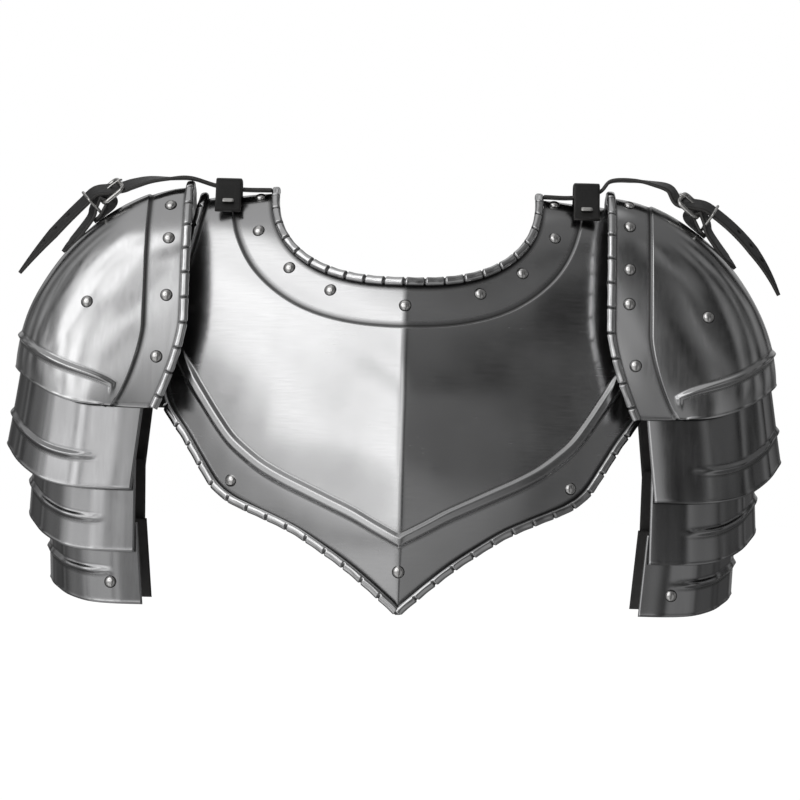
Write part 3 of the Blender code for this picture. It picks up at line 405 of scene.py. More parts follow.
def rope_piece(name, edge, before, up, pitch, slant, node, notch_at=1.15):
    """A roll along an edge line: a flattened tube of the roll's radius that stands on the sheet's
    face and lies just inside the edge. Its radius dips by a narrow bell curve at each notch, whose
    centre shifts round the tube by slant, and most at the angle notch_at round the tube."""
    radius = ROLL / 2
    away = unit(edge - before)
    centre = edge - away * radius + up * (radius - SHEET)
    steps = np.linalg.norm(np.diff(centre, axis=0), axis=1)
    length = np.concatenate([[0], np.cumsum(steps)])
    count = int(length[-1] / RING_STEP)
    at = np.linspace(0, length[-1], count)

    def read(values):
        """The values along the edge line at each ring, by linear steps."""
        return np.stack([np.interp(at, length, values[:, k]) for k in range(3)], axis=1)

    centre = read(centre)
    way = unit(np.gradient(centre, axis=0))
    rise = read(up)
    rise = unit(rise - way * (rise * way).sum(axis=1, keepdims=True))
    side = np.cross(way, rise)
    side = side * np.sign((side * read(away)).sum(axis=1, keepdims=True))
    angle = np.linspace(0, math.tau, RING_POINTS, endpoint=False)[None, :]
    shifted = at[:, None] + slant * np.sin(angle - 0.9)
    number = np.round((shifted - at[-1] / 2) / pitch)
    off = shifted - at[-1] / 2 - number * pitch
    jitter = NOTCH_JITTER * np.sin(number * 12.9 + 0.7)
    bell = np.exp(-(((off + jitter) / NOTCH_HALF) ** 4))
    facing = smooth(np.cos(angle - notch_at) + 0.45)
    swell = SWELL * np.cos(math.tau * off / pitch)
    size = radius * (1 - NOTCH_DEPTH * bell * facing) + swell * facing
    flat_rise, flat_side = quarter(angle, ROLL_SQUARENESS)
    flat_rise = flat_rise * np.sign(np.sin(angle))
    ring = flat_side[..., None] * side[:, None] + flat_rise[..., None] * rise[:, None]
    points = centre[:, None] + size[..., None] * ring
    # Painted shade in each notch and on the roll's underside, where it meets the sheet.
    painted_shade = 0.85 * bell * facing + 0.9 * smooth((np.cos(angle - 3.7) - 0.55) / 0.3)
    painted_light_mask = np.concatenate([np.clip(painted_shade, 0, 1).ravel(), [0, 0]])
    flat = np.concatenate([points.reshape(-1, 3), centre[:1], centre[-1:]])
    set_piece(tube_piece(name, flat, count, painted_light_mask), node, "polished_steel", roll_steel)


whole, whole_out, _ = (both_halves(part) for part in gorget_surface(np.linspace(0, 1, 700)))
for name, row, before, pitch, notch_at in (("neck_roll", 0, 1, 0.0155, 1.5),
                                           ("lower_roll", -1, -2, 0.0180, 0.45)):
    inner = unit(whole[:, row] - whole[:, before])
    rim = whole[:, row] + inner * UNDER_ROLL
    rope_piece(name, rim, whole[:, row], whole_out[:, row], pitch, 0.0006, "gorget_plate", notch_at)


# Shoulder cops
# Each is one raised dome with a roped collar towards the neck, a sunk band beside it, and a bead
# above its lower edge that dies out towards the front and the back.

COLLAR_X, COLLAR_LEG_FLARE, COLLAR_FLARE_DROP, COLLAR_BAND = 0.159, 0.021, 0.100, 0.034
ARM_Y, COP_PEAK, COP_DROP, COP_HALF_DEPTH = 0.008, 0.0025, 0.1725, 0.066
COP_FRONT_X, COP_OUTER_X, COP_OUTER_RISE, COP_CORNER_RISE = 0.222, 0.294, 0.030, 0.002
DOME_CURVE, HOOP_CURVE = 1.8, 2.3
LOW_BEAD_HALF, LOW_BEAD_HEIGHT, LOW_BEAD_INSET = 0.0040, 0.0022, 0.024
LIP_HEIGHT, LIP_RUN = 0.00045, 0.0018
SIDES = {"right": (-1.0, 0.0055), "left": (1.0, -0.0055)}


def collar_x(z, out):
    """The collar's distance from the middle: level with the arm, and flaring out low down."""
    low = np.clip((-COLLAR_FLARE_DROP - z) / (COP_DROP - COP_PEAK - COLLAR_FLARE_DROP), 0, 1)
    return COLLAR_X + out + COLLAR_LEG_FLARE * low**1.5


def cop_lines(columns, out, dense=400):
    """Lines over the dome, each in a plane of one depth: a quarter of a superellipse from the
    collar arch to the lower edge."""
    angle = np.linspace(0, math.pi, columns)
    sine, cosine = quarter(angle, HOOP_CURVE)
    y = ARM_Y - COP_HALF_DEPTH * cosine
    front_z = COP_PEAK - COP_DROP
    top_z = front_z + COP_DROP * sine
    top_x = collar_x(top_z, out)
    low_x = COP_FRONT_X + out + (COP_OUTER_X - COP_FRONT_X) * sine
    low_z = front_z + COP_CORNER_RISE + (COP_OUTER_RISE - COP_CORNER_RISE) * np.sin(angle) ** 2
    top_z = np.maximum(top_z, low_z - COP_CORNER_RISE)
    rise, run = quarter(np.linspace(0, math.pi / 2, dense), DOME_CURVE)
    x = top_x[:, None] + (low_x - top_x)[:, None] * rise
    z = low_z[:, None] + (top_z - low_z)[:, None] * run
    return np.stack([x, np.repeat(y[:, None], dense, axis=1), z], axis=2)


def lengths_of(lines):
    """The whole length of each line."""
    return np.linalg.norm(np.diff(lines, axis=1), axis=2).sum(axis=1)


def hidden_start(total):
    """How much of each line lies under the collar's roll: at most a tenth of it."""
    return np.minimum(UNDER_ROLL, total * 0.1)


def low_bead(wanted, total, squeeze, angle, fades):
    """The bead's height above a hoop's lower edge: a rounded ridge, which rises from nothing once
    the sine of the hoop's angle is past the first of fades and over the second. The edge itself
    is turned up into a fine lip."""
    inset = LOW_BEAD_INSET * squeeze[:, None]
    off = (wanted - (total[:, None] - inset)) / LOW_BEAD_HALF
    fade = smooth((np.sin(angle) - fades[0]) / fades[1])[:, None]
    ridge = np.where(off < 0, smooth(1 + off / 1.1), smooth(1 - off / 0.75))
    # Painted shade: dark lines along both sides of the bead.
    painted_light_mask = 0.55 * fade * painted_shade_line(off - 0.9, 0.22) + 0.3 * fade * painted_shade_line(off + 1.15, 0.2)
    lip = LIP_HEIGHT * smooth((wanted - total[:, None] + LIP_RUN) / LIP_RUN)
    return LOW_BEAD_HEIGHT * fade * ridge + lip, painted_light_mask


def cop_surface(columns, out):
    """The dome's grid, normals and painted shade, with the collar band sunk and the bead raised."""
    angle = np.linspace(0, math.pi, columns)
    lines = cop_lines(columns, out)
    total = lengths_of(lines)
    room = LOW_BEAD_INSET + 2 * LOW_BEAD_HALF
    squeeze = np.clip(0.92 * (total - COLLAR_BAND - STEP_RUN) / room, 0.15, 1)
    band = np.minimum(COLLAR_BAND, total * 0.7)
    low = np.maximum(total - (LOW_BEAD_INSET + 0.007) * squeeze, band + STEP_RUN + 0.0012)
    high = np.maximum(total - (LOW_BEAD_INSET - 0.004) * squeeze, low + 0.0005)
    stops = [hidden_start(total), band - 0.001, band + STEP_RUN + 0.001, low, high, total]
    wanted = rows_between(stops, (18, 9, 66, 20, 14))
    grid = rows_at(lines, wanted)
    outward = normals_of(grid, ((COLLAR_X + COP_OUTER_X) / 2, ARM_Y, COP_PEAK - COP_DROP))
    lift, painted_light_mask = low_bead(wanted, total, squeeze, angle, (0.05, 0.14))
    lift = lift - BAND_STEP * (1 - smooth((wanted - COLLAR_BAND) / STEP_RUN))
    # Painted shade in the crease beside the collar roll and in the collar band's step.
    painted_light_mask = painted_light_mask + 0.9 * painted_shade_line(wanted - ROLL, CREASE)
    painted_light_mask = painted_light_mask + 0.92 * painted_shade_line(wanted - COLLAR_BAND + 0.0003, 0.0018)
    return grid + outward * lift[..., None], outward, painted_light_mask


cop_steel = steel("polished_steel_cops", (0.64, 0.64, 0.645), (0.13, 0.20), (300, 300, 22),
                  (0.06, 0.06, 0.06))
surfaces = {"gorget": (gorget_grid, gorget_out)}
for side, (sign, out) in SIDES.items():
    turn = np.array([sign, 1, 1])
    grid, outward, painted_light_mask = cop_surface(221, out)
    waves = uneven(grid * turn, 0.075, 0.0005, 11) + uneven(grid, 0.028, 0.00007, 12)
    grid = (grid + outward * waves[..., None]) * turn
    outward = outward * turn
    surfaces[side + "_cop"] = (grid, outward)
    sheet_piece(side + "_cop", side + "_cop", grid, outward, painted_light_mask, cop_steel)
    fine, fine_out, _ = cop_surface(901, out)
    inner = unit(fine[:, 0] - fine[:, 1])
    rim = fine[:, 0] + inner * hidden_start(lengths_of(cop_lines(901, out)))[:, None]
    rope_piece(side + "_collar_roll", rim * turn, fine[:, 0] * turn, fine_out[:, 0] * turn,
               0.0195, 0.0005, side + "_cop")


# Lames
# Three hooped plates hang under each cop, each tucked inside the one above, with the same bead.

LAME_REACH, LAME_DROP, LAME_OVERLAP = 0.299, 0.324, 0.022
LAME_COLUMNS = ("name", "top_front_x", "top_outer_x", "top_depth", "front_x", "outer_x", "depth",
                "front_z", "outer_z")
LAMES = (
    ("upper_lame", 0.632, 0.958, 0.895, 0.662, 1.000, 1.030, 0.716, 0.614),
    ("middle_lame", 0.655, 0.926, 0.890, 0.652, 0.940, 0.955, 0.862, 0.778),
    ("lower_lame", 0.648, 0.890, 0.850, 0.630, 0.880, 0.870, 0.985, 0.932),
)


def lame_surface(row, above, out, angle):
    """A lame's grid, normals, painted shade and lower edge: straight lines between two hoops, each
    half a superellipse from the front edge over the outside to the back edge, with the bead raised."""
    lame = dict(zip(LAME_COLUMNS, row))
    sine, cosine = quarter(angle, HOOP_CURVE)
    rise = (lame["outer_z"] - lame["front_z"]) * np.sin(angle) ** 4
    low_z = -LAME_DROP * (lame["front_z"] + rise)
    hoops = []
    for prefix, z in (("top_", above + LAME_OVERLAP), ("", low_z)):
        front = LAME_REACH * lame[prefix + "front_x"]
        outer = LAME_REACH * lame[prefix + "outer_x"]
        y = ARM_Y - COP_HALF_DEPTH * lame[prefix + "depth"] * cosine
        hoops.append(np.stack([front + out + (outer - front) * sine, y, z], axis=1))
    lines = np.stack(hoops, axis=1)
    total = lengths_of(lines)
    low = total - LOW_BEAD_INSET - 0.007
    stops = [np.zeros_like(total), low, low + 0.011, total]
    wanted = rows_between(stops, (22, 20, 14))
    grid = rows_at(lines, wanted)
    middle = np.array([(COLLAR_X + COP_OUTER_X) / 2, ARM_Y, grid[..., 2].mean()])
    outward = normals_of(grid, middle)
    lift, painted_light_mask = low_bead(wanted, total, np.ones_like(total), angle, (0.22, 0.30))
    return grid + outward * lift[..., None], outward, painted_light_mask, low_z


# The lames' steel has a much darker colour than the cops': a painted shade.
lame_steel = steel("polished_steel_lames", (0.43, 0.43, 0.435), (0.12, 0.20), (300, 300, 18),
                   (0.04, 0.04, 0.04))
for side, (sign, out) in SIDES.items():
    turn = np.array([sign, 1, 1])
    angle = np.linspace(0, math.pi, 241)
    above = COP_PEAK - COP_DROP + COP_OUTER_RISE * np.sin(angle) ** 2
    for number, row in enumerate(LAMES):
        name = f"{side}_{row[0]}"
        grid, outward, painted_light_mask, above = lame_surface(row, above, out, angle)
        waves = uneven(grid * turn, 0.075, 0.00035, 21 + number)
        waves = waves * smooth((grid[..., 2].max() - grid[..., 2]) / 0.03)
        waves = waves + 0.00022 * np.sin(angle * 19 + 2.0 * number)[:, None]
        grid = (grid + outward * waves[..., None]) * turn
        outward = outward * turn
        surfaces[name] = (grid, outward)
        sheet_piece(name, name, grid, outward, painted_light_mask, lame_steel)


# Rivets
# Domed steel rivets with a peened tail inside: nine hold the neck band, three the lower border, and
# the rest hold the collars and the inner leathers.

HEAD, DOME, SHANK = 0.0042, 0.0026, 0.0015


def turned_piece(name, outline, spot, axis, around=28):
    """An outline of (radius, height) points turned about an axis through the spot, with a painted
    shade outside the head."""
    axis = np.asarray(axis)
    side = unit(np.cross(axis, (0.3, 0.2, 1.0)))
    other = np.cross(axis, side)
    angle = np.linspace(0, math.tau, around, endpoint=False)
    ring = np.cos(angle)[:, None] * side + np.sin(angle)[:, None] * other
    radius, height = np.asarray(outline, float).T
    points = spot + radius[:, None, None] * ring[None] + height[:, None, None] * axis
    ends = np.stack([spot + axis * height[0], spot + axis * height[-1]])
    # Painted shade on the ring round the head and on the shank and tail under it.
    painted_light_mask = np.concatenate([np.repeat((radius > HEAD * 1.005) * 1.0, around), [0, 0]])
    return tube_piece(name, np.concatenate([points.reshape(-1, 3), ends]), len(outline), painted_light_mask)


def rivet_outline(grip):
    """From the head's top down a circular dome to its rim, out over the ring that carries a painted
    shade, in to the shank and out to the tail."""
    dome = np.linspace(0.06, 1, 12)
    rows = [(HEAD * t, 0.0003 + (DOME - 0.0003) * math.sqrt(1 - 0.985 * t * t)) for t in dome]
    rows += [(HEAD, 0.0001), (HEAD * 1.02, 0.00002), (HEAD * 1.13, 0), (HEAD * 1.13, -0.0003)]
    rows += [(SHANK, -0.0004), (SHANK, -grip), (SHANK * 1.7, -grip - 0.0001)]
    return rows + [(SHANK * 1.75, -grip - 0.0005), (SHANK * 1.2, -grip - 0.0010)]


# The rivets' steel has a lighter colour than the plate's: a painted highlight.
rivet_steel = steel("rivet_steel", (0.84, 0.83, 0.82), (0.14, 0.22), (500, 500, 500),
                    (0.05, 0.05, 0.05))
for node in sorted(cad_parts):
    if "_rivet_" not in node:
        continue
    low, high = (np.array(corner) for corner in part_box(node))
    middle = (low + high) / 2
    if node.startswith(("neck", "border")):
        carrier, grip = "gorget", SHEET + 0.0006
    else:
        side = node.split("_")[0]
        carrier = side + ("_lower_lame" if "_lame_" in node else "_cop")
        grip = SHEET + (0.0006 if "_collar_" in node else 0.0032)
    grid, outward = surfaces[carrier]
    nearest = np.argmin(((grid - middle) ** 2).sum(axis=-1))
    spot, axis = grid.reshape(-1, 3)[nearest], outward.reshape(-1, 3)[nearest]
    exact = spot + (middle - spot) - axis * ((middle - spot) @ axis)
    rivet = turned_piece(node + "_turned", rivet_outline(grip), exact + axis * 0.0002, axis)
    set_piece(rivet, node, "rivet_steel", rivet_steel)


# Leather straps
# Black strap leather, 2.8 mm thick, with a painted highlight along its edges: a strap from each
# neck corner over the collar to its buckle, and the chape that holds the buckle on the cop.

LEATHER = 0.0028
CLEAR = 0.0003
STRAP_WIDTH, STRAP_LANE, STRAP_RISE = 0.020, 0.006, 0.015
TAB_X, TAB_WIDTH, TAB_DROP = 0.138, 0.020, 0.015
BUCKLE_X, BUCKLE_STAND, BUCKLE_TILT = 0.2315, 0.016, math.radians(41)
BUCKLE_LENGTH, BUCKLE_WIDTH = 0.019, 0.027
WIRE, PRONG_WIRE, KEEPER_WIRE = 0.0028, 0.0020, 0.0022
OVER_BAR = WIRE / 2 + 6 * CLEAR + LEATHER * 1.5
CHAPE_REACH, CHAPE_WIDTH, CHAPE_FOOT, CHAPE_OFFSET = 0.031, 0.018, 0.007, 0.004
CHAPE_TURNS = ((-1.62, -1.91), (-1.0, 0.0), (-0.7, 0.7), (0.0, 1.0), (0.9, 0.5), (2.65, -0.44),
               (4.7, -1.76))
STRAP_HEIGHTS = {"right": (0.20, 0.55, 0.50, 0.41, 0.17), "left": (0.36, 0.93, 1.00, 0.87, 0.63)}
TAIL_LENGTH = {"right": 0.086, "left": 0.090}
TAIL_ANGLES = {"right": (44, 53), "left": (34, 64)}
LEAN = math.radians(24)
HOLE_RADIUS, HOLE_EDGE = 0.0021, 0.0006

add, finish = new_material("black_leather", 0.0)
place = add("ShaderNodeTexCoord", {}, "Object")
pores = add("ShaderNodeTexVoronoi", {"Vector": place, "Scale": 1150.0, "Randomness": 1.0},
            "Distance", feature="F1")
creases = noise(add, place, 240.0, 6.0, Roughness=0.6, Distortion=0.6)
handling = noise(add, place, 45.0, 3.0)
hide = two_tones(add, handling, (0.006, 0.006, 0.006), (0.022, 0.021, 0.020))
# Painted highlight: the leather is mixed to a lighter grey along the strap edges by the per-point
# mask.
hide_with_painted_highlight, _ = with_painted_light(add, hide, (0.15, 0.145, 0.14))
grain = bump(add, pores, 0.22, 0.0003)
leather = finish(hide_with_painted_highlight, ranged(add, creases, 0, 1, 0.28, 0.52),
                 bump(add, creases, 0.30, 0.0005, Normal=grain))


def ridge_z(x, out):
    """The cop's top line at a distance from the middle, a quarter of a superellipse."""
    start, end = COLLAR_X + out, COP_OUTER_X + out
    across = np.clip((x - start) / (end - start), 0, 1)
    low = COP_PEAK - COP_DROP + COP_OUTER_RISE
    return low + (COP_PEAK - low) * (1 - across**DOME_CURVE) ** (1 / DOME_CURVE)


def ridge_point(x, lift, out):
    """A point that stands off the cop's top line, square to it."""
    slope = (ridge_z(x + 0.0005, out) - ridge_z(x - 0.0005, out)) / 0.001
    square = np.array([-slope, 1]) / math.hypot(slope, 1)
    return tuple(np.array([x, ridge_z(x, out)]) + square * lift)


def support_z(x, out):
    """The highest steel under the strap: the plate and its roll, or the cop and its collar roll."""
    collar = COLLAR_X + out
    if x >= collar:
        return float(ridge_z(x, out)) + (ROLL - SHEET - BAND_STEP) * (x <= collar + ROLL)
    return float(shoulder_z(x)) + (ROLL - SHEET) * (x >= SHOULDER_HALF_WIDTH - ROLL)


def buckle_place(out):
    """Turns (along the buckle, up from it) into (x, z), from the hinge bar's centre."""
    x = BUCKLE_X + out
    bar = np.array([x, ridge_z(x, out) + BUCKLE_STAND])
    outwards = np.array([math.cos(BUCKLE_TILT), -math.sin(BUCKLE_TILT)])
    up = np.array([math.sin(BUCKLE_TILT), math.cos(BUCKLE_TILT)])
    return bar, lambda s, n: tuple(bar + outwards * s + up * n)


def strap_route(side, out, place_at):
    """The strap's middle line: flat on the neck band, then its heights over the shoulder, then
    through the buckle, then a tail whose slope changes evenly between two angles."""
    under_bar = -(WIRE / 2 + 3 * CLEAR + LEATHER / 2)
    collar = COLLAR_X + out
    last_x = place_at(-BUCKLE_LENGTH, 0)[0]
    band_x = collar + COLLAR_BAND * 0.6
    on_band = LEATHER / 2 - BAND_STEP + 2 * CLEAR
    route = [(NECK_HALF_WIDTH + ROLL + CLEAR, on_band), (TAB_X - TAB_WIDTH / 2, on_band)]
    stations = [TAB_X + TAB_WIDTH / 2, collar + ROLL / 2, band_x]
    stations += [band_x + (last_x - band_x) * part for part in (0.4, 0.75)]
    route += [(x, max(part * STRAP_RISE, support_z(x, out) + 2 * CLEAR + LEATHER / 2))
              for x, part in zip(stations, STRAP_HEIGHTS[side])]
    route += [place_at(-BUCKLE_LENGTH, under_bar),
              place_at(-BUCKLE_LENGTH / 2, (under_bar + OVER_BAR) / 2), place_at(0, OVER_BAR)]
    angles = np.radians(np.linspace(*TAIL_ANGLES[side], 7))
    steps = np.stack([np.cos(angles), -np.sin(angles)], axis=1) * TAIL_LENGTH[side] / 7
    return np.vstack([route, np.array(route[-1]) + np.cumsum(steps, axis=0)])


def strap_piece(name, node, route, width, lane, samples, taper_start, taper_end, to_space,
                holes=(), twist=(1.0, 1.0, 0.0)):
    """A flat strap along a route: at each step a rounded rectangle, wide from front to back, whose
    width narrows towards a tapered end, and which dips at each punched hole. Between two shares of
    its length it turns about its own line by the twist's angle, its front side going down."""
    dense = through(np.asarray(route, float), np.linspace(0, len(route) - 1, 1600))
    length = np.concatenate([[0], np.cumsum(np.linalg.norm(np.diff(dense, axis=0), axis=1))])
    at = np.linspace(0, length[-1], samples)
    line = np.stack([np.interp(at, length, dense[:, k]) for k in (0, 1)], axis=1)
    way = unit(np.gradient(line, axis=0))
    up = np.stack([-way[:, 1], way[:, 0]], axis=1)
    half = np.full(samples, width / 2)
    if taper_start:
        half = half * np.sqrt(np.clip(0.04 + 0.96 * at / taper_start, 0, 1))
    if taper_end:
        half = half * np.clip(0.14 + 0.86 * (length[-1] - at) / taper_end, 0, 1)
    across, corner = np.linspace(-1, 1, 25), np.linspace(0, math.pi, 9)[1:-1]
    level, upright = np.zeros_like(across), np.ones_like(corner)
    soft = LEATHER * 0.30
    w = np.concatenate([across, upright, across[::-1], -upright])
    bulge = np.concatenate([level, np.sin(corner), level, -np.sin(corner)])
    n = np.concatenate([level + 1, np.cos(corner), level - 1, -np.cos(corner)])
    y = (half[:, None] - soft) * w + soft * bulge
    lift = np.tile(LEATHER / 2 * n * (1 - 0.04 * np.abs(w) ** 6), (samples, 1))
    # Painted highlight along the strap's rounded edges.
    painted_light_mask = np.tile(0.5 * np.abs(bulge), samples)
    for hole in holes:
        away = np.sqrt((at[:, None] - (length[-1] - hole)) ** 2 + y**2)
        dip = smooth((HOLE_RADIUS - away) / HOLE_EDGE)
        lift = lift - np.sign(n) * dip * (LEATHER / 2 - 0.0002) * (np.abs(n) > 0.99)
    turned = smooth((at / length[-1] - twist[0]) / max(twist[1] - twist[0], 1e-6))
    lean = (twist[2] * turned)[:, None]
    y, lift = y * np.cos(lean) - lift * np.sin(lean), lift * np.cos(lean) + y * np.sin(lean)
    x, z = (line[:, k, None] + up[:, k, None] * lift for k in (0, 1))
    points = np.stack([x, lane + y, z], axis=2)
    ends = points[[0, -1]].mean(axis=1)
    flat = to_space(np.concatenate([points.reshape(-1, 3), ends]))
    # The strap's two end caps take a fainter painted highlight.
    piece = tube_piece(name, flat, samples, np.concatenate([painted_light_mask, [0.3, 0.3]]))
    set_piece(piece, node, "black_leather", leather)


routes, places = {}, {}
for side, (sign, out) in SIDES.items():
    bar, place_at = buckle_place(out)
    places[side] = place_at
    routes[side] = strap_route(side, out, place_at)
    mirror = np.array([sign, 1, 1])
    strap_piece(side + "_strap", side + "_shoulder_strap", routes[side], STRAP_WIDTH, STRAP_LANE,
                420, 0, 0.040, lambda p, m=mirror: p * m, (0.030, 0.044, 0.058), (0.30, 0.52, LEAN))
    turn_radius = WIRE / 2 + 2 * CLEAR + LEATHER / 2
    seat = CLEAR + LEATHER / 2
    foot_x = bar[0] + CHAPE_OFFSET
    chape = [ridge_point(foot_x, seat, out),
             ridge_point(foot_x - CHAPE_FOOT, seat + 3 * CLEAR, out)]
    chape += [place_at(s * turn_radius, n * turn_radius) for s, n in CHAPE_TURNS]
    reach = CHAPE_REACH * math.cos(BUCKLE_TILT) + CHAPE_OFFSET
    chape += [ridge_point(bar[0] + part * reach, seat, out) for part in (0.72, 0.86, 1.0)]
    strap_piece(side + "_chape", side + "_buckle_chape", chape, CHAPE_WIDTH, STRAP_LANE,
                240, 0.005, 0.012, lambda p, m=mirror: p * m, twist=(0.05, 0.25, LEAN * 0.8))


# Strap tabs and staples
# A loop of the same leather over each strap and round the plate's shoulder edge, held by a nickel
# staple through its front.

TAB_CORNER = 0.0020
STAPLE_HALVES, STAPLE_ROUNDNESS = (0.0045, 0.0018, 0.0008), 0.35


def plate_face(z, lift):
    """A point (y, z) that stands off the plate's front under the tab, square to it."""
    y = min(float(plate_y(x, z)) for x in (TAB_X - TAB_WIDTH / 2, TAB_X + TAB_WIDTH / 2))
    slope = float(plate_y(TAB_X, z + 0.0005) - plate_y(TAB_X, z - 0.0005)) / 0.001
    square = np.array([-1, slope]) / math.hypot(slope, 1)
    return tuple(np.array([y, z]) + square * lift)


def plate_z(x, y):
    """The height near the shoulder at which the plate's face lies at y, the inverse of plate_y."""
    across = abs(x) / PLATE_HALF_WIDTH
    left = 1 - KEEL_SLOPE * across - SIDE_CURVE * across**2
    bulge = ((SHOULDER_BACK - y) / ((PLATE_DEPTH + SHOULDER_BACK) * left)) ** 2
    return float(shoulder_z(x)) - PLATE_DROP * DEEPEST_SHARE * (1 - (1 - bulge) ** (1 / DROP_CURVE))


add, finish = new_material("nickel", 1.0)
plating = noise(add, add("ShaderNodeTexCoord", {}, "Object"), 320.0, 5.0)
nickel = finish(two_tones(add, plating, (0.62, 0.61, 0.59), (0.80, 0.79, 0.77)),
                ranged(add, plating, 0, 1, 0.10, 0.26), bump(add, plating, 0.08, 0.0003))

for side, (sign, out) in SIDES.items():
    half = LEATHER / 2
    dense = through(routes[side], np.linspace(0, len(routes[side]) - 1, 300))
    under_tab = np.abs(dense[:, 0] - TAB_X) < TAB_WIDTH / 2 + half
    over = dense[under_tab, 1].max() + LEATHER + 5 * CLEAR
    front = STRAP_LANE - STRAP_WIDTH / 2 - 3 * CLEAR - half
    back = STRAP_LANE + STRAP_WIDTH / 2 + 3 * CLEAR + half
    low = float(shoulder_z(TAB_X)) - TAB_DROP
    lift = CLEAR + half + BAND_STEP
    under_y = STRAP_LANE - STRAP_WIDTH * 0.15
    under_z = plate_z(TAB_X + TAB_WIDTH / 2, under_y) - SHEET - 2 * CLEAR - half - 0.0012
    route = [plate_face(low, lift), plate_face(low + TAB_DROP * 0.35, lift),
             (front - 2 * CLEAR, over - TAB_CORNER * 2.75),
             (front + TAB_CORNER, over - 2 * CLEAR), (STRAP_LANE, over),
             (back - TAB_CORNER, over - 2 * CLEAR), (back, over - TAB_CORNER * 2),
             (back, under_z + TAB_CORNER * 1.5), (back - TAB_CORNER * 2, under_z - 3 * CLEAR),
             (under_y, under_z)]

    def tab_space(points, sign=sign):
        """A strap worked out in (y, lane, z) turned to lie across the shoulder at TAB_X."""
        return np.stack([sign * (TAB_X + points[:, 1]), points[:, 0], points[:, 2]], axis=1)

    strap_piece(side + "_tab", side + "_strap_tab", route, TAB_WIDTH, 0.0, 200, 0, 0, tab_space)
    low_corner, high_corner = (np.array(c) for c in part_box(side + "_tab_staple"))
    middle = (low_corner + high_corner) / 2
    lean = math.atan2(high_corner[1] - low_corner[1], high_corner[2] - low_corner[2])
    a, b = np.meshgrid(np.linspace(-math.pi / 2, math.pi / 2, 25),
                       np.linspace(0, math.tau, 49)[:-1], indexing="ij")
    narrow = np.cos(a) ** STAPLE_ROUNDNESS
    parts = (narrow * np.sign(np.cos(b)) * np.abs(np.cos(b)) ** STAPLE_ROUNDNESS,
             narrow * np.sign(np.sin(b)) * np.abs(np.sin(b)) ** STAPLE_ROUNDNESS,
             np.sign(np.sin(a)) * np.abs(np.sin(a)) ** (2 * STAPLE_ROUNDNESS))
    ways = np.array([(1, 0, 0), (0, math.sin(lean), math.cos(lean)),
                     (0, -math.cos(lean), math.sin(lean))])
    points = middle + sum(size * part[..., None] * way
                          for size, part, way in zip(STAPLE_HALVES, parts, ways))
    staple = mesh_piece(side + "_staple", points.reshape(-1, 3), grid_quads(25, 48, True))
    set_piece(staple, side + "_tab_staple", "nickel", nickel)


# Buckles
# Nickel-plated wire: a frame with rounded corners on the chape's fold, its prong through the strap,
# and a loop that keeps the strap's tail down.

WIRE_SIDES, WIRE_ASIDE = 18, (0.31, 0.87, 0.38)
FRAME_CORNER, KEEPER_CORNER, KEEPER_DROP = 0.0045, 0.0026, 0.0055


def wire_piece(name, node, line, thickness, closed, taper=0.0):
    """A round wire along a line: rings square to the line, smaller towards a tapered end. A closed
    loop's last ring joins its first."""
    count = len(line)
    if closed:
        way = unit(np.roll(line, -1, axis=0) - np.roll(line, 1, axis=0))
    else:
        way = unit(np.gradient(line, axis=0))
    normal = unit(np.cross(way, WIRE_ASIDE))
    other = np.cross(way, normal)
    angle = np.linspace(0, math.tau, WIRE_SIDES, endpoint=False)[None, :, None]
    size = thickness / 2 * (1 - taper * np.linspace(0, 1, count) ** 2)[:, None, None]
    ring = np.cos(angle) * normal[:, None] + np.sin(angle) * other[:, None]
    flat = (line[:, None] + size * ring).reshape(-1, 3)
    if closed:
        quads = grid_quads(count + 1, WIRE_SIDES, True) % len(flat)
        piece = mesh_piece(name, flat, quads)
    else:
        ends = [line[:1] - way[:1] * thickness * 0.2, line[-1:] + way[-1:] * thickness * 0.1]
        piece = tube_piece(name, np.concatenate([flat, *ends]), count, None)
    set_piece(piece, node, "nickel", nickel)


def rounded_loop(half_a, half_b, corner, count=160):
    """A rounded rectangle as points (a, b): each quarter is a straight run and a quarter circle."""
    angle = np.linspace(0, math.tau, count, endpoint=False)
    a = (half_a - corner) * np.clip(np.cos(angle) * 3.2, -1, 1) + corner * np.cos(angle)
    b = (half_b - corner) * np.clip(np.sin(angle) * 3.2, -1, 1) + corner * np.sin(angle)
    return a, b


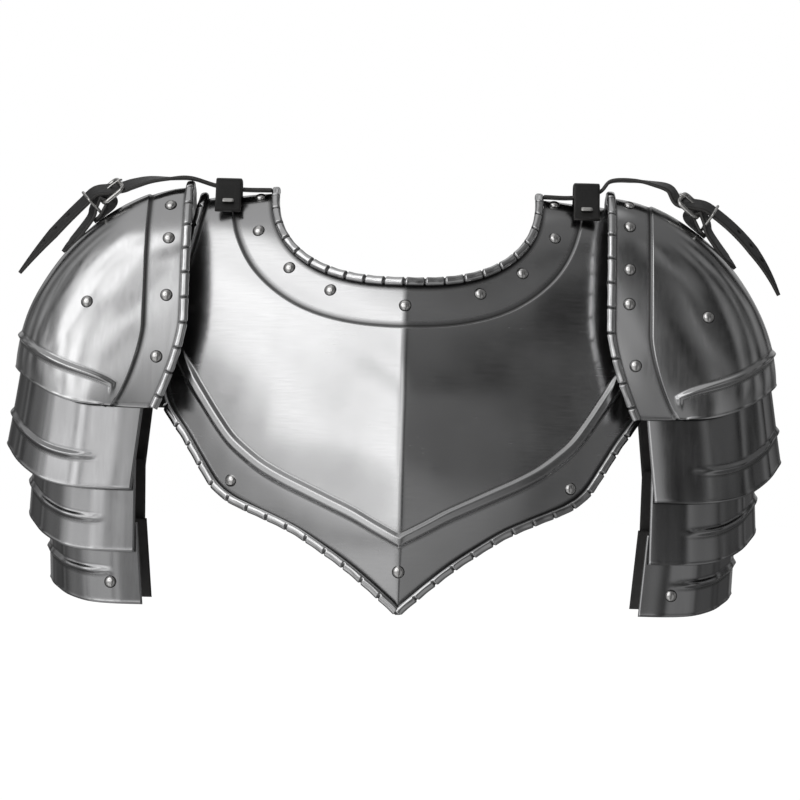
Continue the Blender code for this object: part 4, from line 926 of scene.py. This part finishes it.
for side, (sign, out) in SIDES.items():
    place_at = places[side]
    turn = np.array([sign, 1, 1])

    def lifted(s, across, n):
        """Points along, across and up from the buckle, leaning with the strap."""
        leaned = (n - LEATHER) * math.cos(LEAN) + across * math.sin(LEAN) + LEATHER
        xz = np.array([place_at(u, v) for u, v in zip(s, leaned)])
        y = STRAP_LANE + across * math.cos(LEAN) - (n - LEATHER) * math.sin(LEAN)
        return np.stack([xz[:, 0], y, xz[:, 1]], axis=1) * turn

    a, b = rounded_loop(BUCKLE_LENGTH / 2, BUCKLE_WIDTH / 2, FRAME_CORNER)
    loop = lifted(a - BUCKLE_LENGTH / 2, b, np.zeros_like(a))
    wire_piece(side + "_frame", side + "_buckle_frame", loop, WIRE * 1.2, True)
    half = WIRE / 2
    prong_rows = np.array([(-half - CLEAR, 0.0003), (-BUCKLE_LENGTH * 0.45, 0.0030),
                           (-BUCKLE_LENGTH, half + CLEAR + PRONG_WIRE / 2),
                           (-BUCKLE_LENGTH - 0.003, half)])
    bend = through(prong_rows, np.linspace(0, 3, 60))
    line = lifted(bend[:, 0], np.zeros(len(bend)), bend[:, 1])
    wire_piece(side + "_prong", side + "_buckle_prong", line, PRONG_WIRE, False, 0.3)
    first = math.radians(TAIL_ANGLES[side][0])
    tail_way = np.array([math.cos(first), -math.sin(first)])
    tail_up = np.array([math.sin(first), math.cos(first)])
    centre = np.array(place_at(0, OVER_BAR)) + tail_way * 0.0075
    rise = LEATHER / 2 + 2 * CLEAR + KEEPER_WIRE / 2
    half_width = STRAP_WIDTH / 2 + CLEAR + KEEPER_WIRE / 2
    a, b = rounded_loop(half_width, rise + KEEPER_DROP, KEEPER_CORNER)
    b = b - KEEPER_DROP
    xz = centre + (b * math.cos(LEAN) + a * math.sin(LEAN))[:, None] * tail_up
    y = STRAP_LANE + a * math.cos(LEAN) - b * math.sin(LEAN)
    loop = np.stack([xz[:, 0], y, xz[:, 1]], axis=1) * turn
    wire_piece(side + "_keeper", side + "_buckle_keeper", loop, KEEPER_WIRE, True)


# Inner leathers
# Two straps hang inside each pauldron, riveted to the cop and the lowest lame, so that the lames
# stay apart by their overlap.

for name in ("right_front", "right_back", "left_front", "left_back"):
    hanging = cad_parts[name + "_leather"]
    hanging.data.materials.clear()
    hanging.data.materials.append(leather)


# Floor, light and camera
# A pale floor under a white studio: a broad soft light at the viewer's left, a dim right side, and
# a long lens straight on, turned a little as in the photograph.

FLOOR_Z = -0.52
floor_data = bpy.data.meshes.new("floor")
corners = [(x, y, FLOOR_Z) for x, y in ((-9, -6), (9, -6), (9, 9), (-9, 9))]
floor_data.from_pydata(corners, [], [(0, 1, 2, 3)])
floor = bpy.data.objects.new("floor", floor_data)
bpy.context.scene.collection.objects.link(floor)
pale = bpy.data.materials.new("pale_floor")
pale.use_nodes = True
for key, value in (("Base Color", (0.05, 0.05, 0.05, 1)), ("Roughness", 0.9),
                   ("Emission Color", (1, 1, 1, 1)), ("Emission Strength", 0.985)):
    pale.node_tree.nodes["Principled BSDF"].inputs[key].default_value = value
floor_data.materials.append(pale)
floor.visible_glossy = False
floor.visible_diffuse = False

world = bpy.data.worlds.new("studio")
bpy.context.scene.world = world
world.use_nodes = True
sky = world.node_tree
sky.nodes.clear()
add = adder(sky)


def combine(operation, a, b=0.0):
    """The named operation on one or two values."""
    return add("ShaderNodeMath", {0: a, 1: b}, operation=operation)


direction = add("ShaderNodeTexCoord", {}, "Generated")
parts = add("ShaderNodeSeparateXYZ", {0: direction}).node.outputs
bearing = combine("ARCTAN2", parts[0], combine("MULTIPLY", parts[1], -1.0))
height = combine("ARCSINE", parts[2])
wobble = combine("SUBTRACT", noise(add, direction, 2.2, 2.0), 0.5)
bearing = combine("ADD", bearing, combine("MULTIPLY", wobble, 0.22))
leftwards = combine("MULTIPLY", bearing, -1.0)

# Brightness round the horizon by bearing: 0 is the front, and minus is the viewer's left
HORIZON = (
    (-180, 0.60), (-156, 0.45), (-138, 0.12), (-124, 0.36), (-111, 0.10), (-99, 0.48), (-88, 0.18),
    (-78, 0.42), (-67, 0.85), (-57, 1.55), (-36, 1.76), (-22, 1.58), (-9, 1.20), (0, 0.62),
    (7, 0.28), (13, 0.10), (20, 0.04), (30, 0.26), (40, 0.16), (50, 0.09), (56, 0.02), (64, 0.25),
    (72, 0.21), (79, 0.01), (87, 0.26), (97, 0.21), (104, 0.01), (113, 0.28), (126, 0.23),
    (134, 0.02), (146, 0.30), (180, 0.60))
ring = add("ShaderNodeValToRGB", {0: ranged(add, bearing, -math.pi, math.pi)})
stops = ring.node.color_ramp.elements
for at, value in HORIZON[1:-1]:
    stops.new((at + 180) / 360).color = (value / 2, value / 2, value / 2, 1)
for end, (_, value) in ((0, HORIZON[0]), (-1, HORIZON[-1])):
    stops[end].color = (value / 2, value / 2, value / 2, 1)
level = combine("MULTIPLY", ring, 2.0)


def between(value, start, end):
    """0 below the start and 1 above the end, in degrees, with a smooth rise."""
    return ranged(add, value, math.radians(start), math.radians(end),
                  interpolation_type="SMOOTHSTEP")


def blend(first, second, part):
    """The first value where part is 0, and the second where it is 1."""
    return add("ShaderNodeMix", {"Factor": part, 2: first, 3: second})


# Soft grey clouds in the bright side, a dimmer floor below, which rises at the far left, and a grey
# ceiling above
cloud = noise(add, direction, 5.5, 2.5, Roughness=0.5)
cloud = ranged(add, cloud, 0.46, 0.61, 1.0, 0.36, interpolation_type="SMOOTHSTEP")
level = combine("MULTIPLY", level, cloud)
below = combine("ADD", combine("MULTIPLY", level, 0.36), 0.06)
corner = combine("MULTIPLY", between(bearing, 18, 28), between(leftwards, -60, -50))
below = combine("ADD", below, combine("MULTIPLY", corner, 0.16))
above = blend(0.46, 0.15, between(bearing, -6, 16))
above = blend(above, 0.45, between(height, 72, 84))
lower = combine("MULTIPLY", between(leftwards, 42, 54), math.radians(9))
light = blend(below, level, between(combine("SUBTRACT", height, lower), -3, 12))
light = blend(light, above, between(height, 50, 58))
glow = add("ShaderNodeBackground", {"Color": (1, 1, 1, 1), "Strength": light})
white = add("ShaderNodeBackground", {"Color": (1, 1, 1, 1), "Strength": 1.0})
seen = add("ShaderNodeLightPath", {}, "Is Camera Ray")
surface = sky.nodes.new("ShaderNodeOutputWorld").inputs["Surface"]
sky.links.new(add("ShaderNodeMixShader", {0: seen, 1: glow, 2: white}), surface)

camera_data = bpy.data.cameras.new("camera")
camera_data.lens = 180
camera_data.sensor_width = 36
camera = bpy.data.objects.new("camera", camera_data)
camera.matrix_world = (Matrix.Translation((-0.0020, -3.09, -0.1592))
                       @ Matrix.Rotation(math.radians(90), 4, "X")
                       @ Matrix.Rotation(math.radians(1.45), 4, "Z"))
bpy.context.scene.collection.objects.link(camera)
bpy.context.scene.camera = camera
bpy.context.scene.view_settings.view_transform = "Standard"
